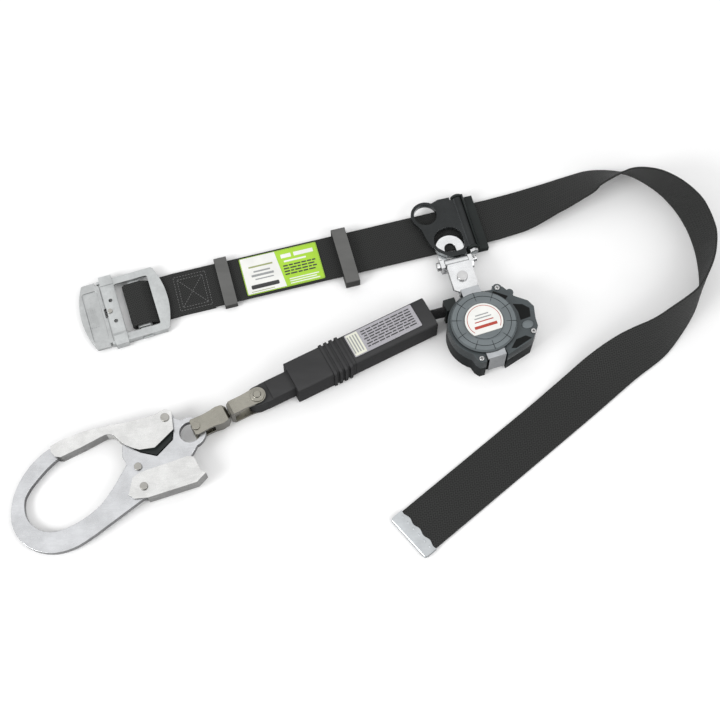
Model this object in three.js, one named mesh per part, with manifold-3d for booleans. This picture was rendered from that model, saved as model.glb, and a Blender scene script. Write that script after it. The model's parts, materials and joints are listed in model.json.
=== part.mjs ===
// Waist belt fall-arrest set: belt and buckle, D-ring, self-retracting webbing reel,
// energy absorber, swivel and large scaffold hook. Millimetres, +Z up, laid on a flat surface.
import * as THREE from 'three';
import Module from 'manifold-3d';
import { mergeVertices } from 'three/addons/utils/BufferGeometryUtils.js';

const wasm = await Module();
wasm.setup();

// ---------------------------------------------------------------- driving dimensions
const GAP = 0.3;                      // clearance between touching pieces
const BELT_WIDTH = 50;
const BELT_THICK = 2.4;
const BELT_LIFT = 3 + BELT_THICK / 2; // belt's middle plane where hardware passes under it
const BELT_ANGLE = 15;                // degrees, the straight run with the hardware
const BUCKLE_ANGLE = 18;
const BELT_CENTRE = [0.35, 124.7];         // a point on the straight run's centreline
const BUCKLE_AT = -260.3;             // distance along the straight run, from BELT_CENTRE
const BUCKLE_ASIDE = -2.1;            // the buckle sits a little to the front of that line
const BELT_BEND = 40;                 // from the buckle to where the belt straightens up
const D_RING_AT = 91.8;
const LABEL_AT = -107.5;
const INNER_KEEPER_AT = -168.4;
const OUTER_KEEPER_AT = -39.5;
const REEL_CENTRE = [104.6, 19.4];
const REEL_ANGLE = 18.5;
const LIFELINE_ANGLE = 16;
const LIFELINE_TALL = 24;
const LIFELINE_THICK = 1.6;
const LINE_HEIGHT = 15.5;             // height of the lanyard's axis over the surface
const LANYARD_ANGLE = 208;            // from the reel towards the hook
const ABSORBER_AT = [50.5, 36.2];
const BOLT_AT = 197.5;                // fork bolt, from the absorber's reel end
const CLEVIS_PIN_AT = 68;             // clevis pin, from the fork bolt
const HOOK_ANGLE = 205.5;
const HOOK_TILT = 3.4;                // the bow droops onto the surface
const EYE_RADIUS = 10.7;
const DRUM_ROLL_RADIUS = 30.7;
const RATCHET_TEETH = 14;

// far edge of the belt from the straight run to its free end, with the strip's lean in
// degrees: 0 lies flat, 90 stands on edge
const BELT_ROUTE = [
  [109, 179.7, 0], [139, 188.5, 3], [175, 201, 20], [204, 212, 30], [231, 219.5, 41],
  [269, 216, 62], [298, 197.5, 82], [316, 176, 94], [328.5, 150.5, 103], [335.5, 124, 104],
  [338, 96, 98], [336.5, 74, 90], [328.5, 50, 83], [310, 19.5, 66], [292.5, -2.5, 52],
  [261, -28.5, 30], [222.5, -62.5, 6], [179, -100, 0], [130.5, -141.5, 0], [80, -184.8, 0],
  [43, -216.5, 0],
];

const colours = {
  belt: 0x2f2f31, keeper: 0x808080, label: 0xa5cf2a, tip: 0xdfe3e6, satin: 0xc9ccce,
  gunmetal: 0x2b2c2e, zinc: 0xe4e6e8, smoke: 0x6e7478, charcoal: 0x26292b, white: 0xe8e6e2,
  rubber: 0x343436, nickel: 0xa8a498, black: 0x161616, spring: 0x8f9194, silverLabel: 0xb9b8bd,
};

const set = new THREE.Group();
set.position.set(6.905, -1.74, 0);   // puts the origin under the middle of the whole set

// ---------------------------------------------------------------- geometry helpers
const degrees = (angle) => THREE.MathUtils.degToRad(angle);
const isSolid = (thing) => thing.getMesh !== undefined;

function toSolid(geometry) {
  const bare = geometry.index ? geometry.clone() : geometry.clone();
  bare.deleteAttribute('normal');
  bare.deleteAttribute('uv');
  const merged = mergeVertices(bare, 1e-4);
  const mesh = new wasm.Mesh({
    numProp: 3,
    vertProperties: new Float32Array(merged.attributes.position.array),
    triVerts: new Uint32Array(merged.index.array),
  });
  return new wasm.Manifold(mesh);
}

function toGeometry(solid) {
  const mesh = solid.getMesh();
  const geometry = new THREE.BufferGeometry();
  geometry.setAttribute('position', new THREE.BufferAttribute(new Float32Array(mesh.vertProperties), 3));
  geometry.setIndex(new THREE.BufferAttribute(new Uint32Array(mesh.triVerts), 1));
  geometry.computeVertexNormals();
  return geometry;
}

const asSolid = (thing) => (isSolid(thing) ? thing : toSolid(thing));
const join = (...things) => things.map(asSolid).reduce((a, b) => a.add(b));
const cut = (thing, ...tools) => tools.map(asSolid).reduce((a, b) => a.subtract(b), asSolid(thing));
const common = (a, b) => asSolid(a).intersect(asSolid(b));

function box(x0, x1, y0, y1, z0, z1) {
  const geometry = new THREE.BoxGeometry(x1 - x0, y1 - y0, z1 - z0);
  return geometry.translate((x0 + x1) / 2, (y0 + y1) / 2, (z0 + z1) / 2);
}

// a cylinder standing along Z from z0 to z1
function post(radius, z0, z1, x = 0, y = 0, sides = 24) {
  const geometry = new THREE.CylinderGeometry(radius, radius, z1 - z0, sides);
  return geometry.rotateX(Math.PI / 2).translate(x, y, (z0 + z1) / 2);
}

// a solid of revolution about Z; the profile is [radius, z], anticlockwise seen with z up
function turned(profile, sides = 32) {
  const closed = profile[0][0] > 0 ? [...profile, profile[0]] : profile;
  const points = closed.map(([r, z]) => new THREE.Vector2(r, z));
  return new THREE.LatheGeometry(points, sides).rotateX(Math.PI / 2);
}

function shapeOf(points) {
  return new THREE.Shape(points.map(([x, y]) => new THREE.Vector2(x, y)));
}

// a flat plate of the outline, from z0 to z1
function plate(outline, z0, z1, holes = []) {
  const shape = outline instanceof THREE.Shape ? outline : shapeOf(outline);
  shape.holes = holes.map((hole) => (hole instanceof THREE.Path ? hole : shapeOf(hole)));
  const settings = { depth: z1 - z0, bevelEnabled: false, curveSegments: 12 };
  return new THREE.ExtrudeGeometry(shape, settings).translate(0, 0, z0);
}

// a profile drawn in (y, z) and extruded along X from x0 to x1
function alongX(outline, x0, x1, holes = []) {
  const geometry = plate(outline, 0, x1 - x0, holes);
  geometry.rotateX(Math.PI / 2).rotateZ(Math.PI / 2);
  return geometry.translate(x0, 0, 0);
}

// a profile drawn in (x, z) and extruded along Y from y0 to y1
function alongY(outline, y0, y1, holes = []) {
  const geometry = plate(outline, 0, y1 - y0, holes);
  return geometry.rotateX(Math.PI / 2).translate(0, y1, 0);
}

function roundedRectangle(x0, x1, y0, y1, radius, steps = 3) {
  const points = [];
  const corners = [[x1 - radius, y0 + radius, -90], [x1 - radius, y1 - radius, 0],
    [x0 + radius, y1 - radius, 90], [x0 + radius, y0 + radius, 180]];
  for (const [cx, cy, start] of corners) {
    for (let i = 0; i <= steps; i += 1) {
      const angle = degrees(start + (90 * i) / steps);
      points.push([cx + radius * Math.cos(angle), cy + radius * Math.sin(angle)]);
    }
  }
  return points;
}

function arcPoints(cx, cy, radius, from, to, steps) {
  const points = [];
  for (let i = 0; i <= steps; i += 1) {
    const angle = degrees(from + ((to - from) * i) / steps);
    points.push([cx + radius * Math.cos(angle), cy + radius * Math.sin(angle)]);
  }
  return points;
}

// a smooth curve through the points, as a list of points
function curveThrough(points, steps) {
  const curve = new THREE.CatmullRomCurve3(points.map(([x, y]) => new THREE.Vector3(x, y, 0)));
  return curve.getPoints(steps).map((p) => [p.x, p.y]);
}

// a round wire along a curve of points
function wire(points, radius, sides = 6, closed = false) {
  const curve = new THREE.CatmullRomCurve3(points, closed);
  const section = new THREE.Shape();
  section.absarc(0, 0, radius, 0, 2 * Math.PI);
  const ring = section.getPoints(Math.ceil(sides / 2)).slice(0, -1);
  const shape = new THREE.Shape(ring.map((p) => new THREE.Vector2(p.x, p.y)));
  const settings = { steps: points.length - 1, extrudePath: curve, bevelEnabled: false };
  return new THREE.ExtrudeGeometry(shape, settings);
}

// a strip of rectangular section through stations { middle, across, normal }
function strip(stations, width, thick) {
  const positions = [];
  for (const { middle, across, normal } of stations) {
    for (const [side, up] of [[-1, -1], [1, -1], [1, 1], [-1, 1]]) {
      const corner = middle.clone()
        .addScaledVector(across, (side * width) / 2)
        .addScaledVector(normal, (up * thick) / 2);
      positions.push(corner.x, corner.y, corner.z);
    }
  }
  const faces = [0, 1, 2, 0, 2, 3];
  const last = 4 * (stations.length - 1);
  faces.push(last, last + 2, last + 1, last, last + 3, last + 2);
  for (let i = 0; i < stations.length - 1; i += 1) {
    for (let k = 0; k < 4; k += 1) {
      const a = 4 * i + k;
      const b = 4 * i + ((k + 1) % 4);
      faces.push(a, a + 4, b + 4, a, b + 4, b);
    }
  }
  const geometry = new THREE.BufferGeometry();
  geometry.setAttribute('position', new THREE.BufferAttribute(new Float32Array(positions), 3));
  geometry.setIndex(faces);
  return geometry;
}

function addPiece(group, name, shape, colour, roughness = 0.6, metalness = 0) {
  let solid = asSolid(shape);
  if (solid.volume() < 0) {
    throw new Error(`${name} is inside out`);
  }
  const material = new THREE.MeshStandardMaterial({ color: colour, roughness, metalness });
  const mesh = new THREE.Mesh(toGeometry(solid), material);
  mesh.name = name;
  group.add(mesh);
  return mesh;
}

function frameAt(x, y, z, angle) {
  const group = new THREE.Group();
  group.position.set(x, y, z);
  group.rotation.z = degrees(angle);
  set.add(group);
  return group;
}

// ---------------------------------------------------------------- belt
function alongBelt(distance, sideways = 0) {
  const angle = degrees(BELT_ANGLE);
  return [
    BELT_CENTRE[0] + distance * Math.cos(angle) - sideways * Math.sin(angle),
    BELT_CENTRE[1] + distance * Math.sin(angle) + sideways * Math.cos(angle),
  ];
}

// plan position and heading at a distance from the buckle, where the belt still turns a little
function nearBuckle(distance) {
  const angle = degrees(distance < BELT_BEND ? BUCKLE_ANGLE : BELT_ANGLE);
  const turn = degrees(BUCKLE_ANGLE - BELT_ANGLE);
  const before = Math.min(distance, BELT_BEND);
  const after = Math.max(distance - BELT_BEND, 0);
  const along = BUCKLE_AT + before * Math.cos(turn) + after;
  const aside = BUCKLE_ASIDE + before * Math.sin(turn);
  return { place: alongBelt(along, aside), angle };
}

// the sewn end: under the buckle's bar, round it and back over the top
function loopProfile() {
  const low = GAP + BELT_THICK / 2;
  const high = 9.6;
  const turn = (high - low) / 2;
  const path = [[76, low], [42, low], [38, low], [10, low], [-8.5, low]];
  for (let i = 1; i < 10; i += 1) {
    const angle = degrees(-90 - 18 * i);
    path.push([-8.5 + turn * Math.cos(angle), low + turn + turn * Math.sin(angle)]);
  }
  path.push([-8.5, high], [-2, high], [4, high]);
  const drop = high - BELT_LIFT;
  for (let i = 1; i <= 6; i += 1) {
    const t = i / 7;
    const ease = t * t * (3 - 2 * t);
    path.push([4 + 11 * t, high - drop * ease]);
  }
  path.push([15.5, BELT_LIFT], [24, BELT_LIFT], [38, BELT_LIFT], [42, BELT_LIFT]);
  return path;
}

function beltStations() {
  const up = new THREE.Vector3(0, 0, 1);
  const stations = [];
  const profile = loopProfile();
  for (let i = 0; i < profile.length; i += 1) {
    const before = profile[Math.max(i - 1, 0)];
    const after = profile[Math.min(i + 1, profile.length - 1)];
    const run = new THREE.Vector2(after[0] - before[0], after[1] - before[1]).normalize();
    const { place: [x, y], angle } = nearBuckle(profile[i][0]);
    const front = new THREE.Vector3(Math.sin(angle), -Math.cos(angle), 0);
    const travel = new THREE.Vector3(Math.cos(angle) * run.x, Math.sin(angle) * run.x, run.y);
    const normal = new THREE.Vector3().crossVectors(front, travel);
    stations.push({ middle: new THREE.Vector3(x, y, profile[i][1]), across: front, normal });
  }
  const straight = degrees(BELT_ANGLE);
  const front = new THREE.Vector3(Math.sin(straight), -Math.cos(straight), 0);
  for (const distance of [-190, -150, -110, -70, -30, 10, 50, 90, 125]) {
    const [x, y] = alongBelt(distance);
    stations.push({ middle: new THREE.Vector3(x, y, BELT_LIFT), across: front, normal: up.clone() });
  }
  const edge = new THREE.CatmullRomCurve3(BELT_ROUTE.map(([x, y]) => new THREE.Vector3(x, y, 0)));
  const leans = new THREE.CatmullRomCurve3(BELT_ROUTE.map(([, , lean]) => new THREE.Vector3(lean, 0, 0)));
  const steps = 4 * (BELT_ROUTE.length - 1);
  for (let i = 4; i <= steps; i += 1) {
    const t = i / steps;
    const foot = edge.getPoint(t);
    const travel = edge.getTangent(t).setZ(0).normalize();
    const lean = degrees(Math.max(leans.getPoint(t).x, 0));
    const right = new THREE.Vector3(travel.y, -travel.x, 0);
    const across = right.multiplyScalar(Math.cos(lean)).addScaledVector(up, Math.sin(lean));
    const normal = new THREE.Vector3().crossVectors(across, travel).normalize();
    const settled = THREE.MathUtils.smoothstep(t, 0.04, 0.16);
    const tipLift = 0.9 * THREE.MathUtils.smoothstep(t, 0.9, 0.97);
    foot.z = THREE.MathUtils.lerp(BELT_LIFT, GAP + (BELT_THICK / 2) * Math.abs(Math.cos(lean)), settled);
    foot.z += tipLift;
    const middle = foot.clone().addScaledVector(across, BELT_WIDTH / 2);
    stations.push({ middle, across, normal });
  }
  return stations;
}

function makeBelt() {
  const stations = beltStations();
  addPiece(set, 'belt_webbing', strip(stations, BELT_WIDTH, BELT_THICK), colours.belt, 0.95);
  makeBeltTip(stations[stations.length - 1]);
  makeKeeper('inner_keeper', INNER_KEEPER_AT, 13.4, [-29, 29], [GAP, 9], 2.1);
  makeKeeper('outer_keeper', OUTER_KEEPER_AT, 15, [-38, 28], [GAP, 13.8], 2.1);
  const [x, y] = alongBelt(LABEL_AT);
  const labelFrame = frameAt(x, y, 0, BELT_ANGLE);
  const top = BELT_LIFT + BELT_THICK / 2;
  const patch = plate(roundedRectangle(-42, 42, -22.3, 22.3, 1.5, 2), top + GAP, top + GAP + 0.7);
  addPiece(labelFrame, 'belt_label', patch, colours.label, 0.5);
}

// a folded metal end plate over the belt's free end
function makeBeltTip({ middle, across, normal }) {
  const travel = new THREE.Vector3().crossVectors(normal, across);
  const group = new THREE.Group();
  group.position.copy(middle);
  group.rotation.z = Math.atan2(travel.y, travel.x);
  set.add(group);
  const body = plate(roundedRectangle(-13, 1.4, -26, 26, 2, 3), -2.1, 2.1);
  const pocket = box(-14, 0.4, -25.4, 25.4, -1.5, 1.5);
  addPiece(group, 'belt_tip', cut(body, pocket), colours.tip, 0.35, 0.8);
}

// a closed loop round the belt
function makeKeeper(name, distance, width, [y0, y1], [z0, z1], wall) {
  const [x, y] = alongBelt(distance);
  const group = frameAt(x, y, 0, BELT_ANGLE);
  const outer = roundedRectangle(y0, y1, z0, z1, 2);
  const inner = roundedRectangle(y0 + wall, y1 - wall, z0 + wall, z1 - wall, 0.8);
  addPiece(group, name, alongX(outer, -width / 2, width / 2, [inner]), colours.keeper, 0.55);
}

// ---------------------------------------------------------------- buckle
const BUCKLE_HALF = 37.5;   // half the frame's width
const LEVER_PIN_AT = [-33.5, 5];

function makeBuckleFrame(group) {
  const bow = arcPoints(-66, 0, 95.5, -21, 21, 14);
  const outline = [[-38, -BUCKLE_HALF], [20.5, -BUCKLE_HALF], [23, -35.6], ...bow,
    [23, 35.6], [20.5, BUCKLE_HALF], [-38, BUCKLE_HALF]];
  const top = plate(outline, 6.2, 8.7);
  const walls = [box(-38, 20.5, 35, BUCKLE_HALF, 1, 6.3), box(-38, 20.5, -BUCKLE_HALF, -35, 1, 6.3)];
  const window = plate(roundedRectangle(-20.8, 14.8, -29.5, 29.5, 2), 5, 10);
  const leverBay = box(-39, -27.5, -34.6, 34.6, 5, 10);
  const pinBore = post(1.95, -40, 40).rotateX(Math.PI / 2).translate(LEVER_PIN_AT[0], 0, LEVER_PIN_AT[1]);
  const barSlots = box(-6.4, 5.4, -40, 40, 2.8, 5.7);
  const body = cut(join(top, ...walls), window, leverBay, pinBore, barSlots);
  addPiece(group, 'buckle_frame', body, colours.satin, 0.35, 0.8);
}

function makeGripBar(group) {
  const ends = box(-6, 5, -39, 39, 3.1, 5.4);
  const middle = alongY([[-8.6, 3.1], [6.6, 3.1], [6.6, 6], [4.4, 7.9], [-7, 7.9], [-8.6, 6.4]], -27, 27);
  addPiece(group, 'grip_bar', join(ends, middle), colours.satin, 0.4, 0.8);
}

function makeBridge(group) {
  const profile = [[-40.8, 1.5], [-38.1, 1.5], [-38.1, 9], [-29, 9], [-27, 11], [27, 11], [29, 9],
    [38.1, 9], [38.1, 1.5], [40.8, 1.5], [40.8, 11], [30, 11], [28, 13], [-28, 13], [-30, 11], [-40.8, 11]];
  const strap = alongX(profile, -34.8, -21.3);
  const holes = [[-28.3, 10], [-28.4, -14.6]].map(([x, y]) => post(2.1, 10, 14, x, y, 16));
  const rivetHole = post(1.9, 10, 14, -31.6, -2, 16);
  addPiece(group, 'buckle_bridge', cut(strap, ...holes, rivetHole), colours.satin, 0.3, 0.85);
  const rivet = join(post(1.6, 10.2, 13.4, -31.6, -2, 16), post(2.6, 13.3, 14.2, -31.6, -2, 16));
  addPiece(group, 'bridge_rivet', rivet, colours.zinc, 0.25, 0.9);
}

function makeBuckleLever(group) {
  const [pinX, pinZ] = LEVER_PIN_AT;
  const bow = arcPoints(25, 0, 87.8, 154.5, 205.5, 14);
  const plan = [[-40.2, 38.2], [-52, 38.2], ...bow, [-52, -38.2], [-40.2, -38.2], [-40.2, -34.3],
    [-34, -34.3], [-34, 34.3], [-40.2, 34.3]];
  const hand = plate(plan, 3.2, 6.8);
  const recess = plate(roundedRectangle(-56, -40, -29, 29, 3), 5.4, 8);
  const barrel = post(3.6, -34.3, 34.3, 0, 0, 20).rotateX(Math.PI / 2).translate(pinX, 0, pinZ);
  const bore = post(1.95, -36, 36, 0, 0, 16).rotateX(Math.PI / 2).translate(pinX, 0, pinZ);
  const springBay = box(-37.6, -29, -5.2, 5.2, 0, 10);
  const lever = cut(join(hand, barrel), recess, bore, springBay);
  addPiece(group, 'buckle_lever', lever, colours.satin, 0.35, 0.8);
  const pin = post(1.6, -37.2, 37.2, 0, 0, 16).rotateX(Math.PI / 2).translate(pinX, 0, pinZ);
  addPiece(group, 'lever_pin', pin, colours.zinc, 0.3, 0.9);
  const coil = [];
  const turns = 3;
  for (let i = 0; i <= turns * 10; i += 1) {
    const angle = (2 * Math.PI * i) / 10;
    const y = -3.6 + (7.2 * i) / (turns * 10);
    coil.push(new THREE.Vector3(pinX + 2.6 * Math.cos(angle), y, pinZ + 2.6 * Math.sin(angle)));
  }
  addPiece(group, 'buckle_spring', wire(coil, 0.45), colours.spring, 0.35, 0.9);
}

function makeBuckle() {
  const [x, y] = alongBelt(BUCKLE_AT, BUCKLE_ASIDE);
  const group = frameAt(x, y, 0, BUCKLE_ANGLE);
  makeBuckleFrame(group);
  makeGripBar(group);
  makeBridge(group);
  makeBuckleLever(group);
}

// ---------------------------------------------------------------- D-ring and shackle
const BAR_X = 1.5;      // axis of the ring's cross bar
const BAR_Z = 12;
const SHACKLE_PIN_AT = [-43.2, 10.5];

const BAR_RADIUS = 5.6;
const JOURNAL_RADIUS = 3.5;
const JOURNAL_FROM = 30;

const barAlongY = (radius, y0, y1, sides = 20) => post(radius, y0, y1, 0, 0, sides)
  .rotateX(-Math.PI / 2).translate(BAR_X, 0, BAR_Z);

function makeBeltSlider(group) {
  const base = box(-14, 19, -32.5, 32.5, GAP, 2.6);
  const ends = [box(-5, 19, 26, 32.5, 2, 5.9), box(-5, 19, -32.5, -26, 2, 5.9)];
  const saddle = box(9, 19, -32.5, 32.5, 5.8, 8.2);
  const cradle = alongY([[9.4, 6], ...arcPoints(BAR_X, BAR_Z, 7.6, -22, 42, 6),
    ...arcPoints(BAR_X, BAR_Z, 5.9, 42, -60, 8)], -32.5, 32.5);
  const lugs = [-1, 1].map((side) => {
    const from = side > 0 ? JOURNAL_FROM + GAP : -32.8;
    const to = side > 0 ? 32.8 : -JOURNAL_FROM - GAP;
    return join(barAlongY(6.4, from, to), box(-3.5, 8, from, to, 5, BAR_Z));
  });
  const bore = barAlongY(JOURNAL_RADIUS + GAP, -40, 40);
  addPiece(group, 'belt_slider', cut(join(base, ...ends, saddle, cradle, ...lugs), bore), colours.black, 0.6);
}

function makeDRing(group) {
  const outline = [
    [BAR_X, 29.7], [-6.5, 29.7], [-6.5, 33], [-19, 33.2], [-27, 30.5], ...arcPoints(-36.8, 18.5, 15.6, 60, 215, 16),
    [-45.5, 2], [-43.9, -9], [-41.5, -18], [-36, -28], [-28, -34.4], [-20, -37], [-9, -37],
    [-6.5, -36], [-6.5, -29.7], [BAR_X, -29.7],
  ];
  const smallHole = arcPoints(-36.8, 18.5, 12.2, 0, 348, 28).reverse();
  const bigHole = curveThrough([[-37.4, -17], [-34, -7.5], [-26, -2.6], [-15, -2.4], [-7.5, -8], [-5.4, -18],
    [-6.6, -26.4], [-10, -30.4], [-20, -31.2], [-28, -29.4], [-34.5, -23.5]], 40);
  const body = plate(outline, 9.4, 14.6, [smallHole, bigHole]);
  const barrel = barAlongY(BAR_RADIUS, -29.7, 29.7);
  const journals = barAlongY(JOURNAL_RADIUS, -37.4, 34.6);
  addPiece(group, 'd_ring', join(body, barrel, journals), colours.gunmetal, 0.35, 0.7);
  const nut = new THREE.CylinderGeometry(4.85, 4.85, 3.4, 6).translate(BAR_X, -35.2, BAR_Z);
  addPiece(group, 'bar_nut', cut(nut, barAlongY(JOURNAL_RADIUS + 0.05, -50, 0)), colours.zinc, 0.3, 0.9);
}

function makeShackle(group) {
  const [pinY, pinZ] = SHACKLE_PIN_AT;
  const outline = [[-37, -37.3], ...arcPoints(-21.5, -23.4, 15.2, 180, 0, 16), [-6.3, -37.3],
    [-15, -37.3], ...arcPoints(-21.5, -23.8, 6, 0, 180, 10), [-28, -37.3]];
  const arch = plate(outline.reverse(), 5.8, 8.6);
  const ear = (x0, x1) => {
    const cheek = [[-52, 12], [-52, 8.5], [-48.5, 5.2], [-37.9, 5.2], [-37.9, 14.6], [-39, 15.4], [-48, 15.4]];
    return alongX(cheek, x0, x1);
  };
  const left = join(ear(-38, -33.4), box(-37.3, -33.4, -38.6, -36, 5.8, 8.6));
  const right = join(ear(-7.6, -3), box(-7.6, -6, -38.6, -36, 5.8, 8.6));
  const bore = post(3.3, -50, 20, 0, 0, 16).rotateY(Math.PI / 2).translate(0, pinY, pinZ);
  addPiece(group, 'shackle', cut(join(arch, left, right), bore), colours.zinc, 0.3, 0.85);
  const pin = join(
    post(3, -41.5, 1.6, 0, 0, 16).rotateY(Math.PI / 2).translate(0, pinY, pinZ),
    post(4.6, -41.6, -38.4, 0, 0, 16).rotateY(Math.PI / 2).translate(0, pinY, pinZ),
  );
  const pinWithHole = cut(pin, post(0.9, 0, 20, -0.9, pinY, 10));
  addPiece(group, 'shackle_pin', pinWithHole, colours.zinc, 0.3, 0.9);
  const cotter = join(post(0.6, 5.2, 15.2, -0.9, pinY, 8), box(-1.4, -0.4, pinY - 2.6, pinY + 2.6, 15, 16));
  addPiece(group, 'cotter_pin', cotter, colours.spring, 0.3, 0.9);
}

function makeBracket(group) {
  const [pinY, pinZ] = SHACKLE_PIN_AT;
  const knuckle = post(5.4, -32.9, -8.1, 0, 0, 20).rotateY(Math.PI / 2).translate(0, pinY, pinZ);
  const rise = alongX([[-47.6, 12], [-44.5, 15.4], [-52.6, 26], [-54.6, 23.6]], -32.9, -8.1);
  const nose = arcPoints(...bracketRivetAt, 18, 228, 312, 10);
  const deck = plate([[-34.4, -54], [-32.9, -51], [-8.1, -51], [-8.4, -78], ...nose.reverse(), [-34.4, -78]].reverse(), 23.6, 26);
  const flange = plate([[-34.4, -54], [-32.9, -54], [-32.9, -78], [-34.4, -78]].reverse(), 18.5, 24);
  const bore = post(3.3, -50, 20, 0, 0, 16).rotateY(Math.PI / 2).translate(0, pinY, pinZ);
  const rivetBore = post(4.3, 10, 40, ...bracketRivetAt, 20);
  const bracket = cut(join(knuckle, rise, deck, flange), bore, rivetBore);
  addPiece(group, 'reel_bracket', bracket, colours.zinc, 0.3, 0.85);
}

function makeRingAssembly() {
  const [x, y] = alongBelt(D_RING_AT);
  const group = frameAt(x, y, 0, BELT_ANGLE);
  makeBeltSlider(group);
  makeDRing(group);
  makeShackle(group);
  makeBracket(group);
}

// ---------------------------------------------------------------- reel
const SWIVEL_Y = 61.2;      // swivel rivet, from the drum's axis towards the ring

// the swivel rivet's place in the ring's frame
function swivelInRingFrame() {
  const reel = new THREE.Vector2(0, SWIVEL_Y).rotateAround(new THREE.Vector2(), degrees(REEL_ANGLE));
  const [x, y] = alongBelt(D_RING_AT);
  const place = new THREE.Vector2(REEL_CENTRE[0] + reel.x - x, REEL_CENTRE[1] + reel.y - y);
  place.rotateAround(new THREE.Vector2(), degrees(-BELT_ANGLE));
  return [place.x, place.y];
}
const bracketRivetAt = swivelInRingFrame();

const screwPlaces = [[27, 33], [44.8, -24.5], [-15.6, -36.6]];

function reelOuter(z0, z1) {
  const lobe = plate([[14, 34], [22, 33], [37, 22], [52, 10], [55.5, 2], [52.3, -11], [51.5, -20],
    [42, -32], [11.5, -40.5], [11, -20]], z0, z1);
  const tab = plate([[-23, -26], [-20.5, -36], [-17, -40.6], [-11.2, -40.8], [-11, -26]], z0, z1);
  const frontFlat = box(-30, 30, -60, -37.2, z0 - 1, z1 + 1);
  const drumCase = cut(post(36.5, z0, z1, 0, 0, 48), frontFlat);
  const bosses = [[27, 33, 5], [37.5, 24.5, 4]].map(([x, y, r]) => post(r, z0, z1, x, y, 16));
  const shoulder = plate([[20, 20], [23, 37], [33, 33], [40, 20]], z0, z1);
  return join(drumCase, lobe, tab, shoulder, ...bosses);
}

function reelCavity(z0, z1) {
  const lobe = plate([[14, 24], [34, 19], [49.2, 8.4], [52.4, 1.8], [49.3, -11], [48.4, -18.5],
    [39.6, -29.2], [16, -33], [11, -10]], z0, z1);
  const columns = [[44.8, -24.5, 4.4], [27, 33, 4.4], [-15.6, -36.6, 4.4]];
  return cut(join(post(34, z0, z1, 0, 0, 48), lobe), ...columns.map(([x, y, r]) => post(r, z0, z1, x, y, 16)));
}

function makeHousing(group) {
  const mouth = join(box(-40, -10, 25.2, 40, 2.4, 33), box(-12, -3, 28, 34.3, 2.4, 28.5));
  const screwBores = (radius) => screwPlaces.map(([x, y]) => post(radius, -1, 40, x, y, 12));
  const rear = cut(reelOuter(0, 19.6), reelCavity(2, 21), mouth, ...screwBores(1.7));
  addPiece(group, 'reel_rear_shell', rear, colours.charcoal, 0.5);
  const front = cut(reelOuter(19.9, 34.9), reelCavity(18, 32.4), mouth, ...screwBores(1.7));
  addPiece(group, 'reel_front_shell', front, colours.smoke, 0.4);
  const guideOuter = box(-30, -17.8, 25.6, 38.4, 2.8, 32.6);
  const roomForDrum = post(34.3, 0, 40, 0, 0, 48);
  const slot = box(-50, 10, 29.6, 35.2, 2.6, 28.4);
  addPiece(group, 'webbing_guide', cut(guideOuter, roomForDrum, slot), colours.black, 0.5);
  screwPlaces.forEach(([x, y], index) => {
    const screw = join(post(1.4, 6, 35.3, x, y, 12), post(2.7, 35.2, 36.6, x, y, 12));
    addPiece(group, `housing_screw_${index + 1}`, screw, colours.spring, 0.35, 0.9);
  });
}

function makeReelFront(group) {
  const strapBody = join(
    box(-9.75, 9.75, -39.9, 42, 35.2, 37.2),
    plate([[-9.75, 39.7], [9.75, 39.7], [9.75, 42], [-9.75, 42]], 21.2, 37.2),
    plate([[-9.75, 40], [9.75, 40], [8, 64], [5, 68.5], [-5, 68.5], [-8, 64]], 21.2, 23.2),
    alongX([[-39.9, 37.2], [-37.6, 37.2], [-37.6, 8], [-39.9, 8]], -8, 9.75),
  );
  const strap = cut(strapBody, post(4.3, 10, 30, 0, SWIVEL_Y, 20));
  addPiece(group, 'reel_strap', strap, colours.zinc, 0.3, 0.85);
  const bezelRing = turned([[20, 35.2], [34, 35.2], [34, 38.6], [32.4, 40.6], [22, 41], [20, 40]], 48);
  const bezel = cut(bezelRing, box(-10.1, 10.1, -50, 50, 30, 37.5));
  addPiece(group, 'reel_bezel', bezel, colours.smoke, 0.35);
  const disc = cut(post(19.6, 37.6, 41.4, 0, 0, 40), box(-30, 30, -40, -13, 30, 50));
  addPiece(group, 'reel_label', disc, colours.white, 0.4);
  const rivet = join(post(4, 19.4, 26.4, 0, SWIVEL_Y, 20), post(5.6, 26.3, 28.6, 0, SWIVEL_Y, 20),
    post(5.6, 19, 20.9, 0, SWIVEL_Y, 20));
  addPiece(group, 'swivel_rivet', rivet, colours.nickel, 0.3, 0.9);
}

function spiralSpring() {
  const section = [];
  const turns = 2.5;
  const steps = 40;
  for (let i = 0; i <= steps; i += 1) {
    const angle = (2 * Math.PI * turns * i) / steps;
    const radius = 5.6 + (4.2 * i) / steps;
    section.push([radius, angle]);
  }
  const inner = section.map(([r, a]) => [r * Math.cos(a), r * Math.sin(a)]);
  const outer = section.map(([r, a]) => [(r + 0.5) * Math.cos(a), (r + 0.5) * Math.sin(a)]);
  return plate([...inner, ...outer.reverse()], 5.4, 25.6);
}

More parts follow.
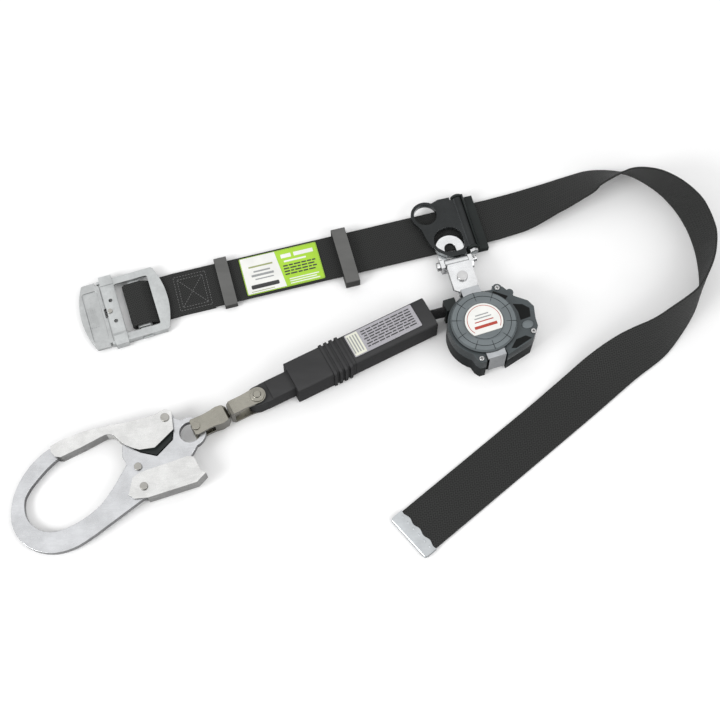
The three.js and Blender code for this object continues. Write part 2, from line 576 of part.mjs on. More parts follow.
function makeDrum(group) {
  const drumProfile = [[4.8, 2.3], [31.2, 2.3], [31.2, 3.2], [12.3, 3.2], [12.3, 27.8], [31.2, 27.8],
    [31.2, 28.8], [4.8, 28.8], [4.8, 27.8], [11, 27.8], [11, 3.2], [4.8, 3.2]];
  addPiece(group, 'drum', turned(drumProfile, 32), colours.nickel, 0.4, 0.8);
  const rollProfile = [[12.6, 3.5], [DRUM_ROLL_RADIUS, 3.5], [DRUM_ROLL_RADIUS, 27.5], [12.6, 27.5]];
  addPiece(group, 'webbing_roll', turned(rollProfile, 40), colours.rubber, 0.95);
  addPiece(group, 'main_shaft', post(4.5, 2.3, 32.1, 0, 0, 20), colours.spring, 0.3, 0.9);
  addPiece(group, 'main_spring', spiralSpring(), colours.spring, 0.35, 0.9);
  const teeth = [];
  for (let i = 0; i < RATCHET_TEETH; i += 1) {
    const pitch = (2 * Math.PI) / RATCHET_TEETH;
    const start = degrees(7) + i * pitch;
    teeth.push([27.4 * Math.cos(start), 27.4 * Math.sin(start)]);
    teeth.push([23.6 * Math.cos(start + 0.06), 23.6 * Math.sin(start + 0.06)]);
    teeth.push([24.4 * Math.cos(start + pitch * 0.5), 24.4 * Math.sin(start + pitch * 0.5)]);
  }
  const ratchet = plate(teeth, 29.1, 31.1, [arcPoints(0, 0, 4.9, 0, 342, 20).reverse()]);
  addPiece(group, 'ratchet_wheel', ratchet, colours.spring, 0.35, 0.9);
}

const PAWL_PIN_AT = [43, 1];

function makePawl(group) {
  const [x, y] = PAWL_PIN_AT;
  addPiece(group, 'pawl_pin', post(2, 2.3, 32.1, x, y, 16), colours.spring, 0.3, 0.9);
  const reach = (length, angle) => [x + length * Math.cos(degrees(angle)), y + length * Math.sin(degrees(angle))];
  const arm = plate([[x, y - 3.6], [x, y + 4], reach(12, 122), reach(19.2, 143), reach(18.6, 148),
    reach(16.5, 154), reach(8, 176)].reverse(), 29.1, 31.1);
  const pawl = cut(join(arm, post(4.2, 29.1, 31.1, x, y, 16)), post(2.3, 20, 40, x, y, 16));
  addPiece(group, 'pawl', pawl, colours.nickel, 0.35, 0.9);
  const leaf = plate([[34, 17.6], [45.2, 9.6], [45, 9], [33.6, 17]], 29.3, 31);
  addPiece(group, 'pawl_spring', leaf, colours.spring, 0.3, 0.9);
}

function makeReel() {
  const group = frameAt(REEL_CENTRE[0], REEL_CENTRE[1], 0, REEL_ANGLE);
  makeHousing(group);
  makeReelFront(group);
  makeDrum(group);
  makePawl(group);
}

// ---------------------------------------------------------------- lifeline and absorber
function makeLifeline() {
  const offset = DRUM_ROLL_RADIUS + GAP + LIFELINE_THICK / 2;
  const angle = degrees(LIFELINE_ANGLE);
  const [cx, cy] = REEL_CENTRE;
  const group = frameAt(cx - offset * Math.sin(angle), cy + offset * Math.cos(angle), 0, LIFELINE_ANGLE);
  const half = LIFELINE_THICK / 2;
  const low = LINE_HEIGHT - LIFELINE_TALL / 2;
  const reach = 46.4;
  const stretch = box(-reach, 8, -half, half, low, low + LIFELINE_TALL);
  addPiece(group, 'lifeline_webbing', stretch, colours.rubber, 0.95);
}

function roundedTube(x0, x1, halfWidth, z0, z1, radius) {
  return alongX(roundedRectangle(-halfWidth, halfWidth, z0, z1, radius), x0, x1);
}

function makeAbsorber(group) {
  const caseBody = roundedTube(0, 94, 17.4, 0.4, 30.6, 4);
  const caseRoom = roundedTube(2.2, 95, 14.8, 2.8, 28.2, 2.5);
  const mouth = box(-1, 4, -2.4, 5.2, 2.9, 28.1);
  addPiece(group, 'absorber_case', cut(caseBody, caseRoom, mouth), colours.rubber, 0.7);
  const ribs = [98.5, 104.5, 110.5, 116.5].map((x) => roundedTube(x, x + 3, 19.2, 0.2, 31.6, 4));
  const sleeve = join(roundedTube(94.3, 122, 17.4, 0.4, 30.6, 4), roundedTube(120, 159.5, 17.6, 0.4, 30.8, 3), ...ribs);
  const sleeveRoom = roundedTube(93, 157, 14.8, 2.8, 28.2, 2.5);
  const neckHole = box(150, 165, -11.4, 11.4, 4.2, 26.8);
  addPiece(group, 'absorber_sleeve', cut(sleeve, sleeveRoom, neckHole), colours.rubber, 0.75);
  addPiece(group, 'tear_webbing', roundedTube(10, 128, 12, 4, 27, 3), colours.belt, 0.95);
  const neckBlock = roundedTube(129, 191, 11, 4.6, 26.4, 2);
  const lobe = plate([[178, -10.6], ...arcPoints(BOLT_AT, 0, 10.6, -90, 90, 12), [178, 10.6]], 6.1, 24.9);
  const roomForFork = [box(184.5, 215, -20, 20, 24.9, 35), box(184.5, 215, -20, 20, -5, 6.1)];
  const bore = post(6, 0, 40, BOLT_AT, 0, 24);
  const neck = cut(join(cut(neckBlock, ...roomForFork), lobe), bore);
  addPiece(group, 'absorber_neck', neck, colours.rubber, 0.75);
  const patch = plate(roundedRectangle(15, 92, -15, 11.5, 1, 2), 30.9, 31.5);
  addPiece(group, 'absorber_label', patch, colours.silverLabel, 0.35);
}

// ---------------------------------------------------------------- fork, swivel and clevis
function makeFork(group) {
  const low = LINE_HEIGHT - 12.2;
  const high = LINE_HEIGHT + 12.2;
  const wall = 2.6;
  const side = [[-9, low], [29, low], [32, low + 3], [32, high - 3], [29, high], [-9, high],
    [-9, high - wall], [28, high - wall], [28, low + wall], [-9, low + wall]];
  const plan = [...arcPoints(0, 0, 8.6, 90, 270, 12), [14, -7.4], [29, -7.4], [33, -5.5], [33, 5.5],
    [29, 7.4], [14, 7.4]];
  const strap = common(alongY(side, -12, 12), plate(plan, 0, 35));
  const boltBore = post(3.9, 0, 40, 0, 0, 20);
  const studBore = post(3.3, 20, 40, 0, 0, 16).rotateY(Math.PI / 2).translate(0, 0, LINE_HEIGHT);
  addPiece(group, 'fork', cut(strap, boltBore, studBore), colours.nickel, 0.45, 0.85);
  const bolt = turned([[0, 0.4], [3.6, 0.4], [3.6, high + 0.3], [7.4, high + 0.3], [7.4, high + 1.2],
    [4, high + 1.9], [3.6, high + 3.4], [0, high + 3.4]], 24);
  addPiece(group, 'fork_bolt', bolt, colours.nickel, 0.35, 0.9);
  const nut = cut(new THREE.CylinderGeometry(6.6, 6.6, 2.5, 6).rotateX(Math.PI / 2).translate(0, 0, low - 1.55),
    post(3.9, 0, 5, 0, 0, 20));
  addPiece(group, 'fork_nut', nut, colours.nickel, 0.4, 0.9);
  const bush = cut(post(5.7, low + wall + GAP, high - wall - GAP, 0, 0, 24), post(3.9, 0, 40, 0, 0, 20));
  addPiece(group, 'eye_bush', bush, colours.spring, 0.3, 0.9);
}

function makeClevis(group) {
  const tube = (radius, x0, x1, sides = 16) => post(radius, x0, x1, 0, 0, sides)
    .rotateY(Math.PI / 2).translate(0, 0, LINE_HEIGHT);
  const stud = join(tube(3, 25, 40), tube(6, 22.4, 27.6, 12));
  const low = LINE_HEIGHT - 8.6;
  const high = LINE_HEIGHT + 8.6;
  const side = [[33, low + 3], [36, low], [72, low], [72, low + 3.2], [52, low + 3.2], [51, low + 4.4],
    [51, high - 4.4], [52, high - 3.2], [72, high - 3.2], [72, high], [36, high], [33, high - 3]];
  const plan = [[32.5, -6], [37, -9], [43, -9.8], [50, -8.6], [57, -8.2], [70, -9], [73, -7], [73, 7],
    [70, 9], [57, 8.2], [50, 8.6], [43, 9.8], [37, 9], [32.5, 6]];
  const body = common(alongY(side, -12, 12), plate(plan, 0, 35));
  const pinBore = post(3.3, 0, 40, CLEVIS_PIN_AT, 0, 16);
  addPiece(group, 'swivel_clevis', cut(join(body, stud), pinBore), colours.nickel, 0.45, 0.85);
  const pin = turned([[0, low - 1.4], [4.2, low - 1.4], [4.2, low - 0.3], [3, low - 0.3], [3, high + 0.3],
    [4.2, high + 0.3], [4.2, high + 1.4], [0, high + 1.4]], 20).translate(CLEVIS_PIN_AT, 0, 0);
  addPiece(group, 'clevis_pin', pin, colours.nickel, 0.35, 0.9);
}

// ---------------------------------------------------------------- hook
const GATE_PIVOT = [16.6, -24.1];
const STOP_RIVET = [60.3, 10.4];
const LEVER_PIVOT = [62.7, 32.4];

function hookBody() {
  const outerBow = curveThrough([[126.6, -47.8], [141, -45.4], [157, -38.6], [171, -29], [182, -17.5],
    [190, -4], [194.3, 10], [192.6, 28], [183, 44], [167, 55], [148, 58.8], [128, 56.6], [102, 50.6],
    [80, 45.8], [61, 41.5], [40, 37.6], [22, 32]], 56);
  const innerBow = curveThrough([[92, 20.4], [110, 31], [130, 36], [147.5, 37.2], [162, 34.2], [173, 25],
    [178.8, 10], [174.4, -7.6], [166, -16], [155, -22.6], [142, -29], [129.4, -33.6]], 36);
  const outline = [...outerBow, [4, 20], [-10, 8], [-10, -8], [6, -18], [16, -30], [25, -27], [40, -24],
    [66, -18.4], [70.7, -6.2], [69.6, 3], ...innerBow];
  const body = join(plate(outline, -3.5, 3.5), post(16, -3.5, 3.5, 0, 0, 40), post(8.2, -3.5, 3.5, ...GATE_PIVOT));
  const springWindow = plate([[13.5, -11], [18.3, -0.5], [39.2, 8.4], [52.9, -2.8], [60, -12], [48, -18],
    [27, -15.5]], -5, 5);
  return cut(body, post(EYE_RADIUS, -5, 5, 0, 0, 32), springWindow,
    post(3.3, -5, 5, ...GATE_PIVOT, 16), post(2.8, -5, 5, ...STOP_RIVET, 16), post(2.8, -5, 5, ...LEVER_PIVOT, 16));
}

function hookGate() {
  const plan = [...arcPoints(...GATE_PIVOT, 8.8, 200, 262, 6), ...curveThrough([[25.2, -31.6], [54.3, -37.2],
    [75, -43], [92, -46.6], [110, -48.4], [122, -48.6], [131, -47.4]], 18),
  [132.6, -41.6], [130.8, -35.4], [125.9, -32.2], ...curveThrough([[104, -32.6], [88, -33.6], [76, -33.8], [70, -30], [66, -20], [59, -10.4],
    [52, -4]], 16), [37.8, 0.5], [22, -5.6], [13.8, -9]];
  const cheeks = [plate(plan, 5.8, 7.3), plate(plan, -7.3, -5.8)];
  const inner = curveThrough([[125.6, -32.4], [104, -32.8], [88, -33.8], [76, -34]], 10);
  const outer = curveThrough([[76, -35.8], [88, -35.6], [104, -34.6], [125.6, -34.2]], 10);
  const web = plate([...inner, ...outer], -7, 7);
  const bore = post(3.3, -10, 10, ...GATE_PIVOT, 16);
  return cut(join(...cheeks, web), bore);
}

function lockLever() {
  const plan = [[69.5, 19], [73, 24], [79.6, 33.5], [76, 40], [62, 45.2], [13.7, 51.8], [5.6, 46], [6.6, 26],
    [12, 22.6], [34, 20.4], [52, 18], [62, 17.4]];
  const cheeks = [plate(plan, 4.1, 5.5), plate(plan, -5.5, -4.1)];
  const wallPlan = [[64, 45.6], [62, 44], [15, 50.2], [7, 44.8], [3, 45.6], [2.4, 47.4], [14, 52.4]];
  const web = plate(wallPlan, -8, 8);
  return cut(join(...cheeks, web), post(2.8, -10, 10, ...LEVER_PIVOT, 16));
}

function makeHook(group) {
  addPiece(group, 'hook_body', hookBody(), colours.zinc, 0.3, 0.85);
  addPiece(group, 'hook_gate', hookGate(), colours.zinc, 0.3, 0.85);
  addPiece(group, 'lock_lever', lockLever(), colours.zinc, 0.35, 0.8);
  const gateRivet = join(post(3, -7.7, 7.7, ...GATE_PIVOT, 16), post(4.4, 7.6, 9, ...GATE_PIVOT, 20),
    post(4.4, -9, -7.6, ...GATE_PIVOT, 20));
  addPiece(group, 'gate_rivet', gateRivet, colours.nickel, 0.35, 0.9);
  const stopRivet = join(post(2.5, -3.9, 3.9, ...STOP_RIVET, 16), post(4, 3.8, 5.7, ...STOP_RIVET, 20),
    post(4, -5.7, -3.8, ...STOP_RIVET, 20));
  addPiece(group, 'stop_rivet', stopRivet, colours.nickel, 0.35, 0.9);
  const leverRivet = join(post(2.5, -5.9, 5.9, ...LEVER_PIVOT, 16), post(4, 5.8, 7.4, ...LEVER_PIVOT, 20),
    post(4, -7.4, -5.8, ...LEVER_PIVOT, 20));
  addPiece(group, 'lever_rivet', leverRivet, colours.nickel, 0.35, 0.9);
  const seat = plate([[15.4, -10.4], [19.4, -1.4], [39, 7.2], [51.8, -3.4], [58, -11.6], [47.4, -17], [27.6, -14.6]], -3.2, 3.2);
  addPiece(group, 'spring_seat', seat, colours.black, 0.6);
  const loop = [];
  for (let i = 0; i <= 14; i += 1) {
    const angle = degrees(60 + (320 * i) / 14);
    loop.push(new THREE.Vector3(GATE_PIVOT[0] + 5.2 * Math.cos(angle), GATE_PIVOT[1] + 5.2 * Math.sin(angle), 4.65));
  }
  addPiece(group, 'gate_spring', wire(loop, 0.6), colours.spring, 0.35, 0.9);
  const leaf = plate([[18, 36.4], [30, 39.4], [44, 40.2], [44, 41], [30, 40.2], [17.6, 37.2]], -3, 3);
  addPiece(group, 'lever_spring', leaf, colours.spring, 0.35, 0.9);
}

function makeLanyard() {
  const absorberFrame = frameAt(ABSORBER_AT[0], ABSORBER_AT[1], 0, LANYARD_ANGLE);
  makeAbsorber(absorberFrame);
  const along = new THREE.Vector2(Math.cos(degrees(LANYARD_ANGLE)), Math.sin(degrees(LANYARD_ANGLE)));
  const bolt = new THREE.Vector2(...ABSORBER_AT).addScaledVector(along, BOLT_AT);
  const forkFrame = frameAt(bolt.x, bolt.y, 0, LANYARD_ANGLE);
  makeFork(forkFrame);
  makeClevis(forkFrame);
  const pin = bolt.clone().addScaledVector(along, CLEVIS_PIN_AT);
  const hang = degrees(HOOK_ANGLE + 11);
  const slack = EYE_RADIUS - 3 - GAP;
  const hookFrame = frameAt(pin.x + slack * Math.cos(hang), pin.y + slack * Math.sin(hang), LINE_HEIGHT, HOOK_ANGLE);
  const tilted = new THREE.Group();
  tilted.rotation.y = degrees(HOOK_TILT);
  hookFrame.add(tilted);
  makeHook(tilted);
}

makeBelt();
makeBuckle();
makeRingAssembly();
makeReel();
makeLifeline();
makeLanyard();

export default set;
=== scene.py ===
"""Waist belt fall-arrest set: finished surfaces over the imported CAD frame."""
import json
import math

import bmesh
import bpy
from mathutils import Matrix, Vector


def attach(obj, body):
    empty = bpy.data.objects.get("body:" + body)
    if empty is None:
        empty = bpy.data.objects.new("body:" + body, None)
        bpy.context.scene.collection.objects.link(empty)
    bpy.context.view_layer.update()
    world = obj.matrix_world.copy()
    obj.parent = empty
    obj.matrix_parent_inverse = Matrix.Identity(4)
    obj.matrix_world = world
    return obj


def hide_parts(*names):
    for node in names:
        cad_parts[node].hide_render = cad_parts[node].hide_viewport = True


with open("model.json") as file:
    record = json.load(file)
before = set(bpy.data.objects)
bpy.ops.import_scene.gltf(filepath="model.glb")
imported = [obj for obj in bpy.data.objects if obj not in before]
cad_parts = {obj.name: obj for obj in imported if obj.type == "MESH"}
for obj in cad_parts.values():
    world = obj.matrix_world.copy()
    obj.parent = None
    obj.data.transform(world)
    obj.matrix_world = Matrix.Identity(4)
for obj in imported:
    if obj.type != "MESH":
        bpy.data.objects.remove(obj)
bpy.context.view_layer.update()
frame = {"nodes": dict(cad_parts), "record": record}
nodes = frame["nodes"]
bodies = frame["record"]["behaviour"]["bodies"]
body_of = {node: body for body, members in bodies.items() for node in members}

MM = 0.001
UP = Vector((0, 0, 1))

# ---------------------------------------------------------------- layout, in millimetres
SHIFT = Vector((6.905, -1.74, 0))       # the part's own layout to the row frame
BELT_WIDTH = 50
BELT_THICK = 2.4
BELT_LIFT = 4.2                         # the middle of the belt's straight run, above the floor
GAP = 0.3                               # clearance between touching pieces, and above the floor
BELT_ANGLE = 15
BUCKLE_ANGLE = 18
BELT_CENTRE = (0.35, 124.7)
BUCKLE_AT = -260.3                      # along the belt from its centre
BUCKLE_ASIDE = -2.1
BELT_BEND = 40                          # where the belt turns from the buckle's angle to its own
SEWN_TAIL = 76                          # the belt's end, folded back under itself
BAR_BEHIND = -8.5                       # the middle of the belt's turn round the buckle's bar
LOOP_TOP = 9.6
PATCH_AT = -107.5                       # the sewn patch, along the belt
PATCH_TOP = 6.4
REEL_CENTRE = (104.6, 19.4)
REEL_ANGLE = 18.5
LABEL_TOP = 41.4                        # the reel's round label
SHELL_TOP = 34.9                        # the front shell's flat
SCREW_TOP = 36.6
SCREWS = ((27, 33), (44.8, -24.5), (-15.6, -36.6))
LINE_ANGLE = 16
LINE_WIDTH = 24
LINE_THICK = 1.6
LINE_HEIGHT = 15.5
LINE_LENGTH = 54.4
LINE_INSIDE = 8                         # the part of the line past the place where it leaves the roll
ROLL_RADIUS = 30.7
LANYARD_ANGLE = 208
ABSORBER_AT = (50.5, 36.2)
ABSORBER_LABEL_TOP = 31.5
# the foot of the belt beyond the D-ring: x, y and the belt's lean in degrees
BELT_ROUTE = [
    (109, 179.7, 0), (139, 188.5, 3), (175, 201, 20), (204, 212, 30), (231, 219.5, 41),
    (269, 216, 62), (298, 197.5, 82), (316, 176, 94), (328.5, 150.5, 103), (335.5, 124, 104),
    (338, 96, 98), (336.5, 74, 90), (328.5, 50, 83), (310, 19.5, 66), (292.5, -2.5, 52),
    (261, -28.5, 30), (222.5, -62.5, 6), (179, -100, 0), (130.5, -141.5, 0), (80, -184.8, 0),
    (43, -216.5, 0),
]

# the camera stands in front of the set and looks down at it
CAMERA_ELEVATION = 66
CAMERA_DISTANCE = 1.5
CAMERA_TARGET = Vector((-14.095, -7.74, 0)) * MM
CAMERA_LENS = 72.75


def along_belt(distance, sideways=0.0):
    angle = math.radians(BELT_ANGLE)
    return (BELT_CENTRE[0] + distance * math.cos(angle) - sideways * math.sin(angle),
            BELT_CENTRE[1] + distance * math.sin(angle) + sideways * math.cos(angle))


def place(x, y, angle, z=0.0):
    """The matrix from a group's own millimetres to the row frame's metres."""
    move = Matrix.Translation((Vector((x, y, z)) + SHIFT) * MM)
    return move @ Matrix.Rotation(math.radians(angle), 4, "Z") @ Matrix.Scale(MM, 4)


BELT_FRAME = place(*BELT_CENTRE, BELT_ANGLE)
BUCKLE_FRAME = place(*along_belt(BUCKLE_AT, BUCKLE_ASIDE), BUCKLE_ANGLE)
REEL_FRAME = place(*REEL_CENTRE, REEL_ANGLE)
ABSORBER_FRAME = place(*ABSORBER_AT, LANYARD_ANGLE)


# ---------------------------------------------------------------- shader helpers
class Shader:
    """A principled material built from procedural nodes."""

    def __init__(self, name, roughness=0.5, metallic=0.0):
        self.material = bpy.data.materials.new(name)
        self.material.use_nodes = True
        self.tree = self.material.node_tree
        self.surface = self.tree.nodes["Principled BSDF"]
        self.surface.inputs["Roughness"].default_value = roughness
        self.surface.inputs["Metallic"].default_value = metallic

    def node(self, kind, settings=None, inputs=None):
        node = self.tree.nodes.new(kind)
        for key, value in (settings or {}).items():
            setattr(node, key, value)
        for key, value in (inputs or {}).items():
            self.feed(node.inputs[key], value)
        return node

    def feed(self, socket, value):
        if isinstance(value, bpy.types.NodeSocket):
            self.tree.links.new(value, socket)
        else:
            socket.default_value = value

    def math(self, operation, a, b=0.0):
        return self.node("ShaderNodeMath", {"operation": operation}, {0: a, 1: b}).outputs[0]

    def noise(self, vector, scale, detail=4.0, rough=0.55):
        values = {"Vector": vector, "Scale": scale, "Detail": detail, "Roughness": rough}
        return self.node("ShaderNodeTexNoise", None, values).outputs["Fac"]

    def object_coordinates(self):
        return self.node("ShaderNodeTexCoord").outputs["Object"]

    def side_shading_mask(self):
        """1 on the cut edges and side faces of a flat-lying piece, 0 on its broad faces: where the sides get
        painted shade (a painted highlight on the gunmetal).
        """
        low, high = 0.3, 0.85
        normal = self.node("ShaderNodeTexCoord").outputs["Normal"]
        upright = self.node("ShaderNodeSeparateXYZ", None, {0: normal}).outputs[2]
        return self.remap(self.math("ABSOLUTE", upright), 1.0, 0.0, low, high)

    def stretched(self, vector, scale, turn=0.0):
        values = {"Vector": vector, "Scale": scale, "Rotation": (0, 0, math.radians(turn))}
        return self.node("ShaderNodeMapping", None, values).outputs[0]

    def remap(self, value, low, high, start=0.0, end=1.0):
        values = {"Value": value, "From Min": start, "From Max": end, "To Min": low, "To Max": high}
        return self.node("ShaderNodeMapRange", None, values).outputs[0]

    def mix(self, factor, a, b):
        node = self.node("ShaderNodeMix", {"data_type": "RGBA"})
        self.feed(node.inputs[0], factor)
        self.feed(node.inputs[6], a)
        self.feed(node.inputs[7], b)
        return node.outputs[2]

    def bump(self, height, distance, strength=1.0):
        values = {"Height": height, "Distance": distance, "Strength": strength}
        return self.node("ShaderNodeBump", None, values).outputs[0]

    def finish(self, **sockets):
        for key, value in sockets.items():
            self.feed(self.surface.inputs[key.replace("_", " ")], value)
        return self.material


def rgb(r, g, b):
    return (r, g, b, 1.0)


def shade(colour, factor):
    return rgb(*(min(1.0, c * factor) for c in colour[:3]))


def webbing_material(name, colour, column, pitch):
    """Twill webbing: diagonal ribs that turn back at each column, their hollows painted darker and crests
    lighter as painted shade and highlight. UVs are metres across and along.
    """
    rib_slope = 1.3
    rib_depth = 0.00035
    s = Shader(name, 0.8)
    uv = s.node("ShaderNodeSeparateXYZ", None, {0: s.node("ShaderNodeUVMap").outputs[0]})
    across, along = uv.outputs[0], uv.outputs[1]
    zigzag = s.math("PINGPONG", across, column / 2)
    turn = s.math("ADD", along, s.math("MULTIPLY", zigzag, rib_slope))
    rib = s.math("SINE", s.math("MULTIPLY", turn, 2 * math.pi / pitch))
    rib = s.remap(rib, 0.0, 1.0, -1.0, 1.0)
    swing = s.math("SINE", s.math("MULTIPLY", across, math.pi / (column / 2)))
    column_wave = s.math("ABSOLUTE", swing)
    height = s.math("MULTIPLY", s.math("POWER", rib, 0.7), s.remap(column_wave, 0.55, 1.0))
    space = s.object_coordinates()
    fuzz = s.noise(space, 3500, 3)
    patches = s.noise(space, 22, 3)
    # The ribs' height darkens their hollows and lightens their crests, painted shade and highlight; the fuzz
    # adds random tone.
    tone = s.math("ADD", s.math("MULTIPLY", height, 0.75), s.math("MULTIPLY", fuzz, 0.35))
    tint = s.mix(tone, shade(colour, 0.05), shade(colour, 2.7))
    tint = s.mix(s.remap(patches, 0.0, 0.3, 0.35, 0.75), tint, shade(colour, 1.3))
    normal = s.bump(s.math("ADD", height, s.math("MULTIPLY", fuzz, 0.25)), rib_depth)
    s.feed(s.surface.inputs["Sheen Weight"], 0.06)
    s.feed(s.surface.inputs["Sheen Roughness"], 0.45)
    s.feed(s.surface.inputs["Specular IOR Level"], 0.2)
    return s.finish(Base_Color=tint, Normal=normal, Roughness=s.remap(fuzz, 0.68, 0.9))


def metal_material(name, colour, roughness, grain=(40, 900, 900), turn=0.0, wear=0.25, pits=0.0,
                   side_shading=0.35):
    """Metal with a drawn grain, handling marks and tarnish, and its sides and cut edges painted darker as
    shade, lighter as a painted highlight where the side factor is above 1.
    """
    s = Shader(name, roughness, 1.0)
    space = s.object_coordinates()
    strokes = s.noise(s.stretched(space, grain, turn), 1.0, 5, 0.7)
    clouds = s.noise(space, 55, 4, 0.6)
    specks = s.noise(space, 1400, 2)
    tint = s.mix(s.remap(clouds, 0.0, 1.0, 0.35, 0.7), shade(colour, 0.86), shade(colour, 1.06))
    tint = s.mix(s.remap(strokes, 0.0, 0.5, 0.45, 0.75), tint, shade(colour, 0.8))
    tint = s.mix(s.remap(specks, 0.0, wear, 0.55, 0.8), tint, shade(colour, 0.55))
    # Painted shade on the sides and cut edges, darker by the side factor; a factor above 1 paints them
    # lighter instead, as a painted highlight.
    side_shading_clouds = s.remap(clouds, 0.0, 1.0, 0.3, 0.7)
    edge = s.mix(side_shading_clouds, shade(colour, side_shading), shade(colour, side_shading * 1.5))
    tint = s.mix(s.side_shading_mask(), tint, edge)
    rough = s.math("ADD", s.remap(strokes, roughness * 0.75, roughness * 1.3, 0.25, 0.75),
                   s.remap(clouds, -0.04, 0.06, 0.3, 0.7))
    height = s.math("ADD", s.math("MULTIPLY", strokes, 0.6), s.math("MULTIPLY", specks, 0.3 + pits))
    return s.finish(Base_Color=tint, Roughness=rough, Normal=s.bump(height, 0.00006, 0.6))


def plastic_material(name, colour, roughness, grain=1300, depth=0.00008, side_shading=0.7, gloss=0.2):
    """Moulded plastic or rubber: fine spark-eroded grain, faint flow marks and scuffs, and sides painted
    darker and less glossy as painted shade.
    """
    wear = 0.12
    wall_gloss = gloss * 0.12
    s = Shader(name, roughness)
    space = s.object_coordinates()
    pebble = s.noise(space, grain, 2, 0.5)
    flow = s.noise(s.stretched(space, (18, 60, 18), 20), 1.0, 4)
    scuff = s.noise(s.stretched(space, (30, 420, 420), 33), 1.0, 6, 0.75)
    tint = s.mix(s.remap(flow, 0.0, 1.0, 0.3, 0.7), shade(colour, 0.88), shade(colour, 1.12))
    tint = s.mix(s.remap(scuff, 0.0, wear, 0.6, 0.8), tint, shade(colour, 1.9))
    # The sides painted darker and given less specular: painted shade.
    side_shade_mask = s.side_shading_mask()
    tint = s.mix(side_shade_mask, tint, shade(colour, side_shading))
    s.feed(s.surface.inputs["Specular IOR Level"], s.remap(side_shade_mask, gloss, wall_gloss))
    rough = s.math("ADD", s.remap(pebble, roughness * 0.9, roughness * 1.1, 0.3, 0.7),
                   s.remap(scuff, 0.0, 0.12, 0.5, 0.8))
    return s.finish(Base_Color=tint, Roughness=rough, Normal=s.bump(pebble, depth, 0.5))


def print_material(name, colour, roughness=0.35, metallic=0.0):
    """Label stock or ink, a little uneven."""
    s = Shader(name, roughness, metallic)
    space = s.object_coordinates()
    grain = s.noise(space, 900, 3)
    clouds = s.noise(space, 60, 3)
    tint = s.mix(s.remap(clouds, 0.0, 1.0, 0.3, 0.7), shade(colour, 0.94), shade(colour, 1.04))
    return s.finish(Base_Color=tint, Roughness=s.remap(grain, roughness * 0.85, roughness * 1.2, 0.3, 0.7),
                    Normal=s.bump(grain, 0.00002, 0.4))


def webbing_finishes():
    """Colour, then the width of a twill column and the pitch of its ribs, in metres."""
    return {
        "belt": webbing_material("belt_twill", rgb(0.018, 0.0185, 0.018), 0.005, 0.0026),
        "line": webbing_material("line_twill", rgb(0.024, 0.024, 0.025), 0.0024, 0.0014),
    }


def printed_finishes():
    return {
        "thread": print_material("thread", rgb(0.17, 0.17, 0.17), 0.8),
        "white": print_material("label_white", rgb(0.8, 0.8, 0.77), 0.4),
        "lime": print_material("label_lime", rgb(0.37, 0.63, 0.035), 0.4),
        # Label ink; the same colour prints the screw crosses as painted shade.
        "ink_and_shade": print_material("label_ink_and_shade", rgb(0.035, 0.035, 0.035), 0.5),
        "grey_ink": print_material("grey_ink", rgb(0.3, 0.31, 0.31), 0.5),
        "olive_ink": print_material("olive_ink", rgb(0.3, 0.34, 0.14), 0.5),
        "red_ink": print_material("red_ink", rgb(0.42, 0.05, 0.03), 0.4),
        "silver_label": print_material("silver_label", rgb(0.42, 0.41, 0.44), 0.3, 0.5),
        "pale_label": print_material("pale_label", rgb(0.7, 0.7, 0.6), 0.4),
    }


def metal_finishes():
    """Colour, roughness, then the grain's cycles per metre along each axis and its turn in degrees."""
    even, cast, bright, drawn = (300, 300, 300), (240, 240, 240), (60, 500, 500), (90, 700, 700)
    hook_turn = 25.5
    # The last number paints the sides and cut edges: below 1 darker, as painted shade.
    return {
        "tip": metal_material("tip_metal", rgb(0.68, 0.71, 0.73), 0.38, side_shading=0.3),
        "buckle": metal_material("buckle_alloy", rgb(0.67, 0.69, 0.69), 0.42, even, pits=0.5, side_shading=0.45),
        "cast": metal_material("lever_alloy", rgb(0.62, 0.635, 0.635), 0.46, cast, pits=0.6, side_shading=0.45),
        "steel": metal_material("bright_steel", rgb(0.72, 0.72, 0.72), 0.26),
        "zinc": metal_material("zinc_plate", rgb(0.92, 0.93, 0.94), 0.22, bright, 15, 0.12, side_shading=0.22),
        "strap": metal_material("strap_plate", rgb(0.56, 0.58, 0.6), 0.3, bright, 15, 0.12, side_shading=0.3),
        "hook": metal_material("hook_plate", rgb(0.74, 0.75, 0.77), 0.27, drawn, hook_turn, side_shading=0.16),
        "panel": metal_material("hook_panel", rgb(0.88, 0.88, 0.87), 0.24, (70, 500, 500), hook_turn, 0.12,
                                side_shading=0.16),
        "rivet": metal_material("rivet_metal", rgb(0.5, 0.49, 0.46), 0.3, side_shading=0.2),
        "nickel": metal_material("warm_nickel", rgb(0.41, 0.395, 0.345), 0.28, (200, 400, 400), 28, 0.5, 0.6,
                                 side_shading=0.24),
        # The gunmetal's sides painted lighter: a painted rim highlight.
        "gun": metal_material("gunmetal", rgb(0.05, 0.053, 0.054), 0.24, (200, 200, 200), side_shading=4.6),
    }


